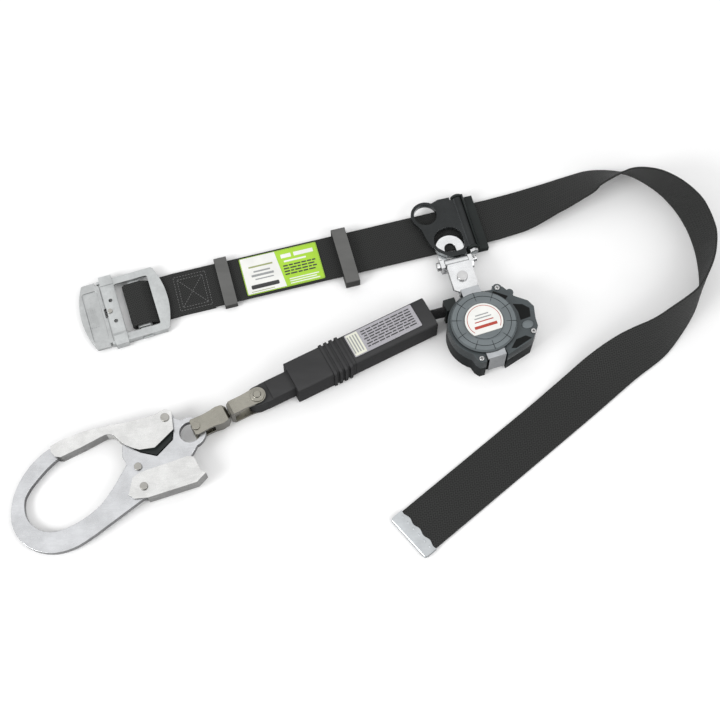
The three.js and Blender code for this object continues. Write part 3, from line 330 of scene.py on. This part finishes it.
def plastic_finishes():
    # The side factor paints the sides darker: painted shade.
    return {
        "keeper": plastic_material("keeper_plastic", rgb(0.118, 0.118, 0.115), 0.5, side_shading=0.42),
        "smoke": plastic_material("smoke_plastic", rgb(0.148, 0.168, 0.176), 0.22, 900, 0.00003, side_shading=0.2,
                                  gloss=0.25),
        "shell": plastic_material("shell_plastic", rgb(0.062, 0.073, 0.077), 0.22, 900, 0.00003, side_shading=0.5,
                                  gloss=0.3),
        # Dark rear-shell plastic, also used for the bezel's groove lines as painted shade.
        "charcoal_and_groove_shade": plastic_material("charcoal_plastic", rgb(0.016, 0.019, 0.02), 0.35, 900, 0.00005,
                                     side_shading=0.5),
        # Near-black colour for sheets standing in for the shade in the shell's hollows: painted shade.
        "hollow_shade": plastic_material("shadowed_plastic", rgb(0.004, 0.005, 0.005), 0.6),
        "black": plastic_material("black_plastic", rgb(0.021, 0.025, 0.0245), 0.33),
        "rubber": plastic_material("absorber_rubber", rgb(0.04, 0.04, 0.041), 0.6, 1100, 0.00016, side_shading=0.75),
    }


materials = {**webbing_finishes(), **printed_finishes(), **metal_finishes(), **plastic_finishes()}


# ---------------------------------------------------------------- mesh helpers
SMOOTH_BELOW = 40       # degrees between faces
ROUNDED_ABOVE = 35
FLAT_BELOW = 1.2
WELD = 2e-6             # metres


def finish_piece(mesh, name, material, body, smooth=SMOOTH_BELOW):
    """An object from a mesh in the row frame, riding on a body."""
    obj = bpy.data.objects.new(name, mesh)
    bpy.context.collection.objects.link(obj)
    mesh.materials.clear()
    mesh.materials.append(materials[material])
    for polygon in mesh.polygons:
        polygon.use_smooth = True
    mesh.set_sharp_from_angle(angle=math.radians(smooth))
    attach(obj, body)
    return obj


def mesh_from(bm, name, matrix=None):
    if matrix is not None:
        bm.transform(matrix)
    bmesh.ops.recalc_face_normals(bm, faces=bm.faces)
    mesh = bpy.data.meshes.new(name)
    bm.to_mesh(mesh)
    bm.free()
    return mesh


def round_edges(obj, width, segments=2):
    """Rounded edges, the width in millimetres."""
    bevel = obj.modifiers.new("edge", "BEVEL")
    bevel.width = width * MM
    bevel.segments = segments
    bevel.limit_method = "ANGLE"
    bevel.angle_limit = math.radians(ROUNDED_ABOVE)
    bevel.use_clamp_overlap = True
    bevel.harden_normals = True
    bevel.miter_outer = "MITER_ARC"


def dress(node, material, width=0.35, segments=2):
    """A copy of a CAD node with its flats merged, its edges rounded and a finished surface."""
    bm = bmesh.new()
    bm.from_mesh(nodes[node].data)
    bmesh.ops.remove_doubles(bm, verts=bm.verts, dist=WELD)
    bmesh.ops.dissolve_limit(bm, angle_limit=math.radians(FLAT_BELOW), verts=bm.verts, edges=bm.edges)
    piece = finish_piece(mesh_from(bm, node + "_skin"), node + "_skin", material, body_of[node])
    if width:
        round_edges(piece, width, segments)
    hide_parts(node)


def outline_prism(bm, points, z0, z1):
    """A flat outline, drawn in x and y and thickened from z0 to z1."""
    low = [bm.verts.new((x, y, z0)) for x, y in points]
    high = [bm.verts.new((x, y, z1)) for x, y in points]
    bm.faces.new(list(reversed(low)))
    bm.faces.new(high)
    for i in range(len(points)):
        j = (i + 1) % len(points)
        bm.faces.new((low[i], low[j], high[j], high[i]))


def rounded_rectangle(x0, x1, y0, y1, radius):
    steps = 2
    points = []
    corners = ((x1 - radius, y0 + radius, -90), (x1 - radius, y1 - radius, 0),
               (x0 + radius, y1 - radius, 90), (x0 + radius, y0 + radius, 180))
    for cx, cy, start in corners:
        for i in range(steps + 1):
            angle = math.radians(start + 90 * i / steps)
            points.append((cx + radius * math.cos(angle), cy + radius * math.sin(angle)))
    return points


def printed(name, matrix, rectangles, z, material, body, thick=0.08, radius=0.25):
    """Flat printed shapes, each (x0, x1, y0, y1), as one thin piece."""
    bm = bmesh.new()
    for x0, x1, y0, y1 in rectangles:
        r = min(radius, (x1 - x0) / 2.2, (y1 - y0) / 2.2)
        outline_prism(bm, rounded_rectangle(x0, x1, y0, y1, r), z, z + thick)
    finish_piece(mesh_from(bm, name, matrix), name, material, body)


def dashed_rows(x0, x1, tops, height, longest=9.0, gap=1.1):
    """Rows of blank dashes of uneven length, as small print looks from a distance."""
    dashes = []
    for row, top in enumerate(tops):
        x = x0
        count = 0
        while x < x1 - 1.5:
            length = longest * (0.35 + 0.65 * abs(math.sin(2.1 * count + 1.7 * row + 0.6)))
            dashes.append((x, min(x + length, x1), top - height, top))
            x += length + gap
            count += 1
    return dashes


def ring_print(name, matrix, arc, z, material, body, thick=0.08):
    """A printed arc round the matrix's origin: (inner radius, outer radius, start, end)."""
    inner, outer, start, end = arc
    steps = int(abs(end - start) / 6)
    angles = [math.radians(start + (end - start) * i / steps) for i in range(steps + 1)]
    points = [(outer * math.cos(a), outer * math.sin(a)) for a in angles]
    points += [(inner * math.cos(a), inner * math.sin(a)) for a in reversed(angles)]
    bm = bmesh.new()
    for i in range(steps):
        quad = [points[i], points[i + 1], points[-2 - i], points[-1 - i]]
        outline_prism(bm, quad, z, z + thick)
    finish_piece(mesh_from(bm, name, matrix), name, material, body)


def stitches(name, matrix, lines, z, material, body, length=2.3, space=3.0, width=0.6):
    """Rows of rounded beads, for thread or crimps: each line is (x0, y0, x1, y1)."""
    height = 0.7
    bm = bmesh.new()
    for x0, y0, x1, y1 in lines:
        run = Vector((x1 - x0, y1 - y0, 0))
        count = max(1, round(run.length / space))
        step = run / count
        for i in range(count):
            middle = Vector((x0, y0, z)) + step * (i + 0.5)
            bead = bmesh.ops.create_uvsphere(bm, u_segments=6, v_segments=5, radius=0.5)
            turn = Matrix.Rotation(math.atan2(run.y, run.x), 4, "Z")
            size = Matrix.Diagonal((length, width, height, 1))
            bmesh.ops.transform(bm, matrix=Matrix.Translation(middle) @ turn @ size, verts=bead["verts"])
    finish_piece(mesh_from(bm, name, matrix), name, material, body, 80)


# ---------------------------------------------------------------- webbing
def catmull(points, t):
    """A point on the centripetal curve through the points, t from 0 to 1."""
    count = len(points)
    spot = t * (count - 1)
    index = min(int(spot), count - 2)
    weight = spot - index
    p1, p2 = points[index], points[index + 1]
    p0 = points[index - 1] if index > 0 else [2 * a - b for a, b in zip(p1, p2)]
    p3 = points[index + 2] if index + 2 < count else [2 * b - a for a, b in zip(p1, p2)]

    def gap(a, b, otherwise):
        same_place = 1e-4
        root = sum((x - y) ** 2 for x, y in zip(a, b)) ** 0.25
        return root if root > same_place else otherwise

    d1 = gap(p1, p2, 1.0)
    d0 = gap(p0, p1, d1)
    d2 = gap(p2, p3, d1)
    result = []
    for a, b, c, d in zip(p0, p1, p2, p3):
        t1 = ((b - a) / d0 - (c - a) / (d0 + d1) + (c - b) / d1) * d1
        t2 = ((c - b) / d1 - (d - b) / (d1 + d2) + (d - c) / d2) * d1
        k2 = -3 * b + 3 * c - 2 * t1 - t2
        k3 = 2 * b - 2 * c + t1 + t2
        result.append(b + t1 * weight + k2 * weight ** 2 + k3 * weight ** 3)
    return result


def smoothstep(value, low, high):
    t = min(max((value - low) / (high - low), 0.0), 1.0)
    return t * t * (3 - 2 * t)


def near_buckle(distance):
    """Plan position and heading at a distance from the buckle."""
    angle = math.radians(BUCKLE_ANGLE if distance < BELT_BEND else BELT_ANGLE)
    turn = math.radians(BUCKLE_ANGLE - BELT_ANGLE)
    before = min(distance, BELT_BEND)
    after = max(distance - BELT_BEND, 0)
    forward = BUCKLE_AT + before * math.cos(turn) + after
    aside = BUCKLE_ASIDE + before * math.sin(turn)
    return along_belt(forward, aside), angle


def loop_profile():
    """The sewn end in side view: under the bar, round it and back over the top."""
    low = GAP + BELT_THICK / 2
    turn = (LOOP_TOP - low) / 2
    path = [(distance, low) for distance in (SEWN_TAIL, 60, 42, 38, 24, 10, 0, BAR_BEHIND)]
    arc_steps = 16
    for i in range(1, arc_steps):
        angle = math.radians(-90 - 180 * i / arc_steps)
        path.append((BAR_BEHIND + turn * math.cos(angle), low + turn + turn * math.sin(angle)))
    path += [(distance, LOOP_TOP) for distance in (BAR_BEHIND, -4, 0, 4)]
    slope_steps = 12
    for i in range(1, slope_steps):
        t = i / slope_steps
        path.append((4 + 11 * t, LOOP_TOP - (LOOP_TOP - BELT_LIFT) * t * t * (3 - 2 * t)))
    return path + [(distance, BELT_LIFT) for distance in (15.5, 24, 38, 42)]


def belt_heading(angle):
    """The directions along the belt and across it to its front edge, in plan."""
    return Vector((math.cos(angle), math.sin(angle), 0)), Vector((math.sin(angle), -math.cos(angle), 0))


def sewn_stations():
    stations = []
    profile = loop_profile()
    for i, (distance, z) in enumerate(profile):
        before = Vector(profile[max(i - 1, 0)])
        after = Vector(profile[min(i + 1, len(profile) - 1)])
        run = (after - before).normalized()
        (x, y), angle = near_buckle(distance)
        ahead, front = belt_heading(angle)
        travel = ahead * run.x + UP * run.y
        stations.append((Vector((x, y, z)), front, front.cross(travel)))
    return stations


def straight_stations():
    front = belt_heading(math.radians(BELT_ANGLE))[1]
    stations = []
    for distance in range(-190, 126, 15):
        stations.append((Vector((*along_belt(distance), BELT_LIFT)), front, UP))
    return stations


def laid_stations():
    """The long bend, standing on its edge, and the free end. The belt comes down to the floor as it
    leaves the straight run, and rises a little into its end plate."""
    comes_down, rises, rise = (0.04, 0.16), (0.9, 0.97), 0.9
    steps_each = 10
    nudge = 1e-4
    edge = [(x, y) for x, y, _ in BELT_ROUTE]
    leans = [(lean,) for _, _, lean in BELT_ROUTE]
    steps = steps_each * (len(BELT_ROUTE) - 1)
    stations = []
    for i in range(steps_each, steps + 1):
        t = i / steps
        foot = Vector((*catmull(edge, t), 0))
        ahead = Vector((*catmull(edge, min(t + nudge, 1)), 0))
        behind = Vector((*catmull(edge, max(t - nudge, 0)), 0))
        travel = (ahead - behind).normalized()
        lean = math.radians(max(catmull(leans, t)[0], 0))
        across = Vector((travel.y, -travel.x, 0)) * math.cos(lean) + UP * math.sin(lean)
        resting = GAP + BELT_THICK / 2 * abs(math.cos(lean))
        foot.z = BELT_LIFT + (resting - BELT_LIFT) * smoothstep(t, *comes_down)
        foot.z += rise * smoothstep(t, *rises)
        stations.append((foot + across * BELT_WIDTH / 2, across, across.cross(travel).normalized()))
    return stations


def webbing_section(width, thick):
    """The strip's outline across its width, with rounded selvedges."""
    half = width / 2
    edge = thick / 2
    columns = 10

    def selvedge(side, angle):
        a = math.radians(angle)
        return (side * (half - edge) + edge * math.cos(a), edge * math.sin(a))

    section = [(-half, 0), selvedge(-1, 135), selvedge(-1, 110)]
    section += [(-half + edge + (width - thick) * i / columns, edge) for i in range(columns + 1)]
    section += [selvedge(1, 70), selvedge(1, 45), (half, 0)]
    return section + [(x, -z) for x, z in reversed(section[1:-1])]


def webbing(name, stations, width, thick, material, body, node):
    """A woven strip, its UVs in metres. Returns the piece and its length along the middle."""
    section = webbing_section(width, thick)
    bm = bmesh.new()
    layer = bm.loops.layers.uv.new("UVMap")
    rings = []
    lengths = [0.0]
    for i, (middle, across, normal) in enumerate(stations):
        if i:
            lengths.append(lengths[-1] + (middle - stations[i - 1][0]).length)
        rings.append([bm.verts.new((middle + across * x + normal * z + SHIFT) * MM) for x, z in section])
    count = len(section)
    girth = [0.0]
    for i in range(count):
        girth.append(girth[-1] + math.dist(section[i], section[(i + 1) % count]))
    for i in range(len(rings) - 1):
        near, far = lengths[i], lengths[i + 1]
        for k in range(count):
            j = (k + 1) % count
            left, right = girth[k], girth[k + 1]
            face = bm.faces.new((rings[i][k], rings[i][j], rings[i + 1][j], rings[i + 1][k]))
            corners = ((left, near), (right, near), (right, far), (left, far))
            for loop, (u, v) in zip(face.loops, corners):
                loop[layer].uv = (u * MM, v * MM)
    bm.faces.new(rings[0])
    bm.faces.new(list(reversed(rings[-1])))
    piece = finish_piece(mesh_from(bm, name), name, material, body, 60)
    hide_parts(node)
    return piece, lengths[-1] * MM


def box_lines(x0, x1, y0, y1):
    """The four sides of a rectangle, as stitch lines."""
    return [(x0, y0, x1, y0), (x1, y0, x1, y1), (x1, y1, x0, y1), (x0, y1, x0, y0)]


def make_belt():
    stations = sewn_stations() + straight_stations() + laid_stations()
    belt, length = webbing("belt_strap", stations, BELT_WIDTH, BELT_THICK, "belt", "belt", "belt_webbing")
    outer_box = box_lines(-221, -187, -21, 19)
    inner_box = box_lines(-217.5, -190.5, -17.5, 15.5)
    cross = [(-217.5, -17.5, -190.5, 15.5), (-217.5, 15.5, -190.5, -17.5)]
    belt_top = BELT_LIFT + BELT_THICK / 2
    stitches("box_stitching", BELT_FRAME, outer_box + inner_box + cross, belt_top + 0.05, "thread", "belt")
    make_tip(stations[-1])
    make_label()
    for node in ("inner_keeper", "outer_keeper"):
        dress(node, "keeper", 0.5, 3)


def make_tip(station):
    """The end plate, folded round the belt's end and crimped, with a wavy inner edge."""
    middle, across, normal = station
    travel = normal.cross(across)
    matrix = place(middle.x, middle.y, math.degrees(math.atan2(travel.y, travel.x)), middle.z)
    half, corner, steps = 25.8, 2.5, 64
    depth, wave, waves = 13.2, 0.9, 7
    inner, outer = 1.45, 2.1            # the folded sheet's two faces, above the belt's middle
    bm = bmesh.new()
    rings = []
    for i in range(steps + 1):
        y = -half + 2 * half * i / steps
        into = max(abs(y) - (half - corner), 0)
        shift = corner - math.sqrt(max(corner ** 2 - into ** 2, 0))
        edge = -depth + wave * math.sin(waves * math.pi * i / steps)
        end = 1.4 - shift
        fold = 0.35 - shift
        section = [(edge, inner), (edge, 1.95), (edge + 0.3, outer),
                   (end - 0.8, outer), (end - 0.2, 1.7), (end, 1.1)]
        section += [(x, -z) for x, z in reversed(section)] + [(fold, -inner), (fold, inner)]
        rings.append([bm.verts.new((x, y, z)) for x, z in section])
    count = len(rings[0])
    for low, high in zip(rings, rings[1:]):
        for k in range(count):
            j = (k + 1) % count
            bm.faces.new((low[k], low[j], high[j], high[k]))
    for ring in (rings[0], rings[-1]):
        top, bottom = ring[:6], ring[6:12]
        bm.faces.new(top + [ring[13]])
        bm.faces.new(bottom + [ring[12]])
        bm.faces.new((ring[5], ring[6], ring[12], ring[13]))
    tip = finish_piece(mesh_from(bm, "belt_tip_plate", matrix), "belt_tip_plate", "tip", "belt", 30)
    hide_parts("belt_tip")
    dents = [(-9.5, y, -9.5, y + 5) for y in range(-22, 20, 8)]
    stitches("tip_crimps", matrix, dents, 2.0, "tip", "belt", 4.2, 5, 1.3)


def make_label():
    """The sewn patch: a plain white panel and a lime panel, with ruled lines and blank bars."""
    dress("belt_label", "lime", 0.2)
    patch = BELT_FRAME @ Matrix.Translation((PATCH_AT, 0, 0))
    panel_top = PATCH_TOP + 0.12
    lime_top = PATCH_TOP + 0.02
    bm = bmesh.new()
    outline_prism(bm, [(-41, -21.4), (0.5, -21.4), (-3.5, 21.4), (-41, 21.4)], PATCH_TOP - 0.02, panel_top)
    finish_piece(mesh_from(bm, "label_white_panel", patch), "label_white_panel", "white", "belt")
    printed("label_bar", patch, [(-36, -6, -16.6, -11.8)], panel_top, "ink_and_shade", "belt", 0.05, 1.2)
    heads = [(-34, -8, 8.6, 10.4), (-37, -12, -19.8, -19.1)]
    printed("label_head_lines", patch, heads, panel_top, "olive_ink", "belt", 0.05)
    fields = [(-30, -12, 2.6, 4.4), (-33, -9, -2.4, 0.2), (-30, -10, -6.4, -5)]
    printed("label_fields", patch, fields, panel_top, "grey_ink", "belt", 0.05, 0.5)
    rules = [(2, 13, 11.6, 16.2), (16, 37, 11.6, 16.2), (4, 28, 6.4, 8.4)]
    rules += [(5, 37 - 3 * (i % 2), -14.6 - 2.7 * i, -13.4 - 2.7 * i) for i in range(3)]
    printed("label_rules", patch, rules, lime_top, "white", "belt", 0.06)
    rows = dashed_rows(2, 37, [3.0 - 3.4 * i for i in range(4)], 1.6, 7.0)
    printed("label_rows", patch, rows, lime_top, "ink_and_shade", "belt", 0.06)
    border = box_lines(-41.3, 41.3, -21.6, 21.6)
    stitches("label_stitching", patch, border, PATCH_TOP + 0.1, "thread", "belt", 1.6, 2.3, 0.4)


# ---------------------------------------------------------------- hardware
def make_buckle():
    dress("buckle_frame", "buckle", 0.5, 3)
    dress("grip_bar", "buckle", 0.5, 3)
    dress("buckle_bridge", "buckle", 0.45, 3)
    dress("buckle_lever", "cast", 0.7, 3)
    dress("bridge_rivet", "rivet", 0.5, 3)
    dress("lever_pin", "steel", 0.3)
    dress("buckle_spring", "steel", 0)
    ridges = [(-55 + 2.4 * i, -54 + 2.4 * i, -12, 12) for i in range(4)]
    printed("lever_grip_ridges", BUCKLE_FRAME, ridges, 5.3, "cast", "lever_plate", 0.7, 0.4)


def make_ring_group():
    dress("belt_slider", "black", 0.5, 3)
    dress("d_ring", "gun", 0.9, 3)
    dress("bar_nut", "zinc", 0.4)
    dress("shackle", "zinc", 0.7, 3)
    dress("shackle_pin", "zinc", 0.5, 3)
    dress("cotter_pin", "steel", 0.15)
    dress("reel_bracket", "zinc", 0.6, 3)
    dress("swivel_rivet", "steel", 0.8, 3)


def make_reel():
    dress("reel_rear_shell", "charcoal_and_groove_shade", 0.7, 3)
    dress("reel_front_shell", "shell", 1.1, 3)
    dress("webbing_guide", "black", 0.5, 3)
    dress("reel_strap", "strap", 0.5, 3)
    dress("reel_bezel", "smoke", 0.7, 3)
    dress("reel_label", "white", 0.35, 3)
    for index in (1, 2, 3):
        dress(f"housing_screw_{index}", "steel", 0.5, 3)
    ring_print("reel_label_ring", REEL_FRAME, (16.9, 17.5, -38, 218), LABEL_TOP, "red_ink", "reel")
    bars = [(-12, 12, -7.4, -4.2), (-10, 10, -0.6, 0.5)]
    printed("reel_label_bars", REEL_FRAME, bars, LABEL_TOP, "red_ink", "reel")
    fields = [(-9, 9, 3.2, 4.4), (-7, 7, 6.6, 7.8)]
    printed("reel_label_fields", REEL_FRAME, fields, LABEL_TOP, "grey_ink", "reel")
    make_bezel_details()
    make_shell_details()
    dress("drum", "nickel", 0)
    dress("webbing_roll", "rubber", 0.4)
    dress("main_shaft", "steel", 0.4)
    dress("main_spring", "steel", 0)
    dress("ratchet_wheel", "steel", 0.2)
    dress("pawl", "nickel", 0.2)
    dress("pawl_pin", "steel", 0.3)
    dress("pawl_spring", "steel", 0)


def make_bezel_details():
    """The bezel's closed front below the label, and its radial grooves and scribed ring drawn as thin dark
    strips: painted shade of the grooves.
    """
    radius = 19.9
    start, end, steps = -138.4, -41.6, 18
    angles = [math.radians(start + (end - start) * i / steps) for i in range(steps + 1)]
    bm = bmesh.new()
    outline_prism(bm, [(radius * math.cos(a), radius * math.sin(a)) for a in angles], 37.6, 40.5)
    segment = finish_piece(mesh_from(bm, "bezel_segment", REEL_FRAME), "bezel_segment", "smoke", "reel")
    round_edges(segment, 0.25)
    # Thin dark strips laid where the grooves' shade falls: painted shade.
    grooves = 10
    groove = [(22.6, -0.2), (33, -0.2), (33, 0.2), (22.6, 0.2)]
    bm = bmesh.new()
    for i in range(grooves):
        turn = Matrix.Rotation(math.radians((i + 0.5) * 360 / grooves), 4, "Z")
        before = len(bm.verts)
        outline_prism(bm, groove, 40.4, 41.02)
        bm.verts.ensure_lookup_table()
        bmesh.ops.transform(bm, matrix=turn, verts=bm.verts[before:])
    finish_piece(mesh_from(bm, "bezel_groove_shade", REEL_FRAME), "bezel_groove_shade", "charcoal_and_groove_shade", "reel")
    ring_print("bezel_ring_shade", REEL_FRAME, (27.4, 27.9, 0, 360), 40.6, "charcoal_and_groove_shade", "reel", 0.34)


def make_shell_details():
    """The front shell's hollows drawn as flat near-black sheets, painted shade; its dome; and the crosses in
    its screws, printed dark as the painted shade of their recesses.
    """
    hollows = ([(36, 11), (45, 7.6), (50.4, 1.4), (48, -8), (37, -8.6), (38, 1)],
               [(17, -35), (25, -27.4), (35.6, -26.4), (40.6, -30.6), (22, -36.4)],
               [(22, 31), (34.4, 21), (30.6, 18.4), (19.6, 29)])
    bm = bmesh.new()
    # Flat near-black sheets laid where the hollows' shade falls: painted shade.
    for outline in hollows:
        outline_prism(bm, outline, SHELL_TOP - 0.1, SHELL_TOP + 0.2)
    finish_piece(mesh_from(bm, "shell_hollow_shade", REEL_FRAME), "shell_hollow_shade", "hollow_shade", "reel")
    bm = bmesh.new()
    dome = bmesh.ops.create_uvsphere(bm, u_segments=32, v_segments=16, radius=1)
    size = Matrix.Translation((42, -15.5, 34.6)) @ Matrix.Diagonal((6.4, 5, 2.4, 1))
    bmesh.ops.transform(bm, matrix=size, verts=dome["verts"])
    finish_piece(mesh_from(bm, "shell_dome", REEL_FRAME), "shell_dome", "smoke", "reel")
    # Dark crosses printed on the screw heads for the shade in their cross recesses: painted shade.
    long, short = 1.7, 0.35
    for index, (x, y) in enumerate(SCREWS):
        cross = [(x - long, x + long, y - short, y + short), (x - short, x + short, y - long, y + long)]
        printed(f"screw_cross_shade_{index + 1}", REEL_FRAME, cross, SCREW_TOP - 0.05, "ink_and_shade", "reel", 0.1, 0.1)


def make_absorber():
    dress("absorber_case", "rubber", 1.0, 3)
    dress("absorber_sleeve", "rubber", 0.8, 3)
    dress("absorber_neck", "rubber", 0.8, 3)
    dress("tear_webbing", "rubber", 0.5)
    dress("eye_bush", "steel", 0.3)
    dress("absorber_label", "silver_label", 0.15)
    rows = dashed_rows(19, 75, [-10.6 + 3.0 * i for i in range(7)], 1.3, 8.0)
    printed("absorber_label_lines", ABSORBER_FRAME, rows, ABSORBER_LABEL_TOP, "ink_and_shade", "lanyard")
    strip = [(78, 91, -14, 10.5)]
    strip_thick = 0.1
    printed("absorber_label_strip", ABSORBER_FRAME, strip, ABSORBER_LABEL_TOP, "pale_label", "lanyard",
            strip_thick, 0.6)
    lines = [(80 + 3 * i, 81.4 + 3 * i, -12, 8) for i in range(4)]
    printed("absorber_strip_lines", ABSORBER_FRAME, lines, ABSORBER_LABEL_TOP + strip_thick, "grey_ink",
            "lanyard", 0.05)


def make_lifeline():
    angle = math.radians(LINE_ANGLE)
    offset = ROLL_RADIUS + GAP + LINE_THICK / 2
    cx, cy = REEL_CENTRE
    start = Vector((cx - offset * math.sin(angle), cy + offset * math.cos(angle), LINE_HEIGHT))
    along = Vector((math.cos(angle), math.sin(angle), 0))
    side = Vector((-along.y, along.x, 0))
    steps = 18
    stations = []
    for i in range(steps + 1):
        middle = start + along * (LINE_INSIDE - LINE_LENGTH * i / steps)
        stations.append((middle, UP, side))
    line, length = webbing("lifeline_strap", stations, LINE_WIDTH, LINE_THICK, "line", "lanyard",
                           "lifeline_webbing")


def make_hook_group():
    for node in ("fork", "swivel_clevis"):
        dress(node, "nickel", 1.3, 4)
    for node in ("fork_bolt", "fork_nut", "clevis_pin"):
        dress(node, "nickel", 0.4, 3)
    dress("hook_body", "hook", 0.9, 3)
    dress("hook_gate", "panel", 0.5, 3)
    dress("lock_lever", "panel", 0.5, 3)
    for node in ("gate_rivet", "stop_rivet", "lever_rivet"):
        dress(node, "rivet", 0.5, 3)
    dress("spring_seat", "black", 0.3)
    dress("gate_spring", "steel", 0)
    dress("lever_spring", "steel", 0.1)


# ---------------------------------------------------------------- floor, light and camera
def make_stage():
    half_size, drop = 6, 0.0002         # metres
    bm = bmesh.new()
    bmesh.ops.create_grid(bm, x_segments=1, y_segments=1, size=half_size)
    mesh = mesh_from(bm, "floor")
    floor = bpy.data.objects.new("floor", mesh)
    bpy.context.collection.objects.link(floor)
    s = Shader("pale_floor", 0.9)
    grain = s.noise(s.object_coordinates(), 30, 2)
    tint = s.mix(grain, rgb(0.93, 0.93, 0.93), rgb(0.96, 0.96, 0.96))
    mesh.materials.append(s.finish(Base_Color=tint))
    floor.location.z = -drop


def make_world():
    world = bpy.data.worlds.new("studio")
    bpy.context.scene.world = world
    world.use_nodes = True
    tree = world.node_tree
    background = tree.nodes["Background"]
    coordinate = tree.nodes.new("ShaderNodeTexCoord")
    split = tree.nodes.new("ShaderNodeSeparateXYZ")
    ramp = tree.nodes.new("ShaderNodeValToRGB")
    tree.links.new(coordinate.outputs["Generated"], split.inputs[0])
    tree.links.new(split.outputs[2], ramp.inputs[0])
    ends = ramp.color_ramp.elements
    ends[0].position = 0.0
    ends[0].color = rgb(0.5, 0.5, 0.51)
    ends[1].position = 1.0
    ends[1].color = rgb(1.0, 1.0, 1.0)
    for height, tone in ((0.3, 0.45), (0.6, 0.8), (0.85, 0.95)):
        ends.new(height).color = rgb(tone, tone, tone)
    tree.links.new(ramp.outputs[0], background.inputs["Color"])
    background.inputs["Strength"].default_value = 1.0


def make_light(name, location, size, energy):
    data = bpy.data.lights.new(name, "AREA")
    data.size = size
    data.energy = energy
    light = bpy.data.objects.new(name, data)
    light.location = location
    direction = CAMERA_TARGET - Vector(location)
    light.rotation_euler = direction.to_track_quat("-Z", "Y").to_euler()
    bpy.context.collection.objects.link(light)


def make_camera():
    data = bpy.data.cameras.new("view")
    data.lens = CAMERA_LENS
    data.sensor_width = 36
    camera = bpy.data.objects.new("view", data)
    tilt = math.radians(CAMERA_ELEVATION)
    camera.location = CAMERA_TARGET + Vector((0, -math.cos(tilt), math.sin(tilt))) * CAMERA_DISTANCE
    camera.rotation_euler = (math.radians(90 - CAMERA_ELEVATION), 0, 0)
    bpy.context.collection.objects.link(camera)
    bpy.context.scene.camera = camera
    bpy.context.scene.view_settings.view_transform = "Standard"


make_camera()
make_belt()
make_buckle()
make_ring_group()
make_reel()
make_absorber()
make_lifeline()
make_hook_group()
make_stage()
make_world()
make_light("key_light", (-1.7, -1.1, 1.3), size=0.9, energy=26)
make_light("fill_light", (1.5, -1.0, 1.3), size=1.4, energy=14)
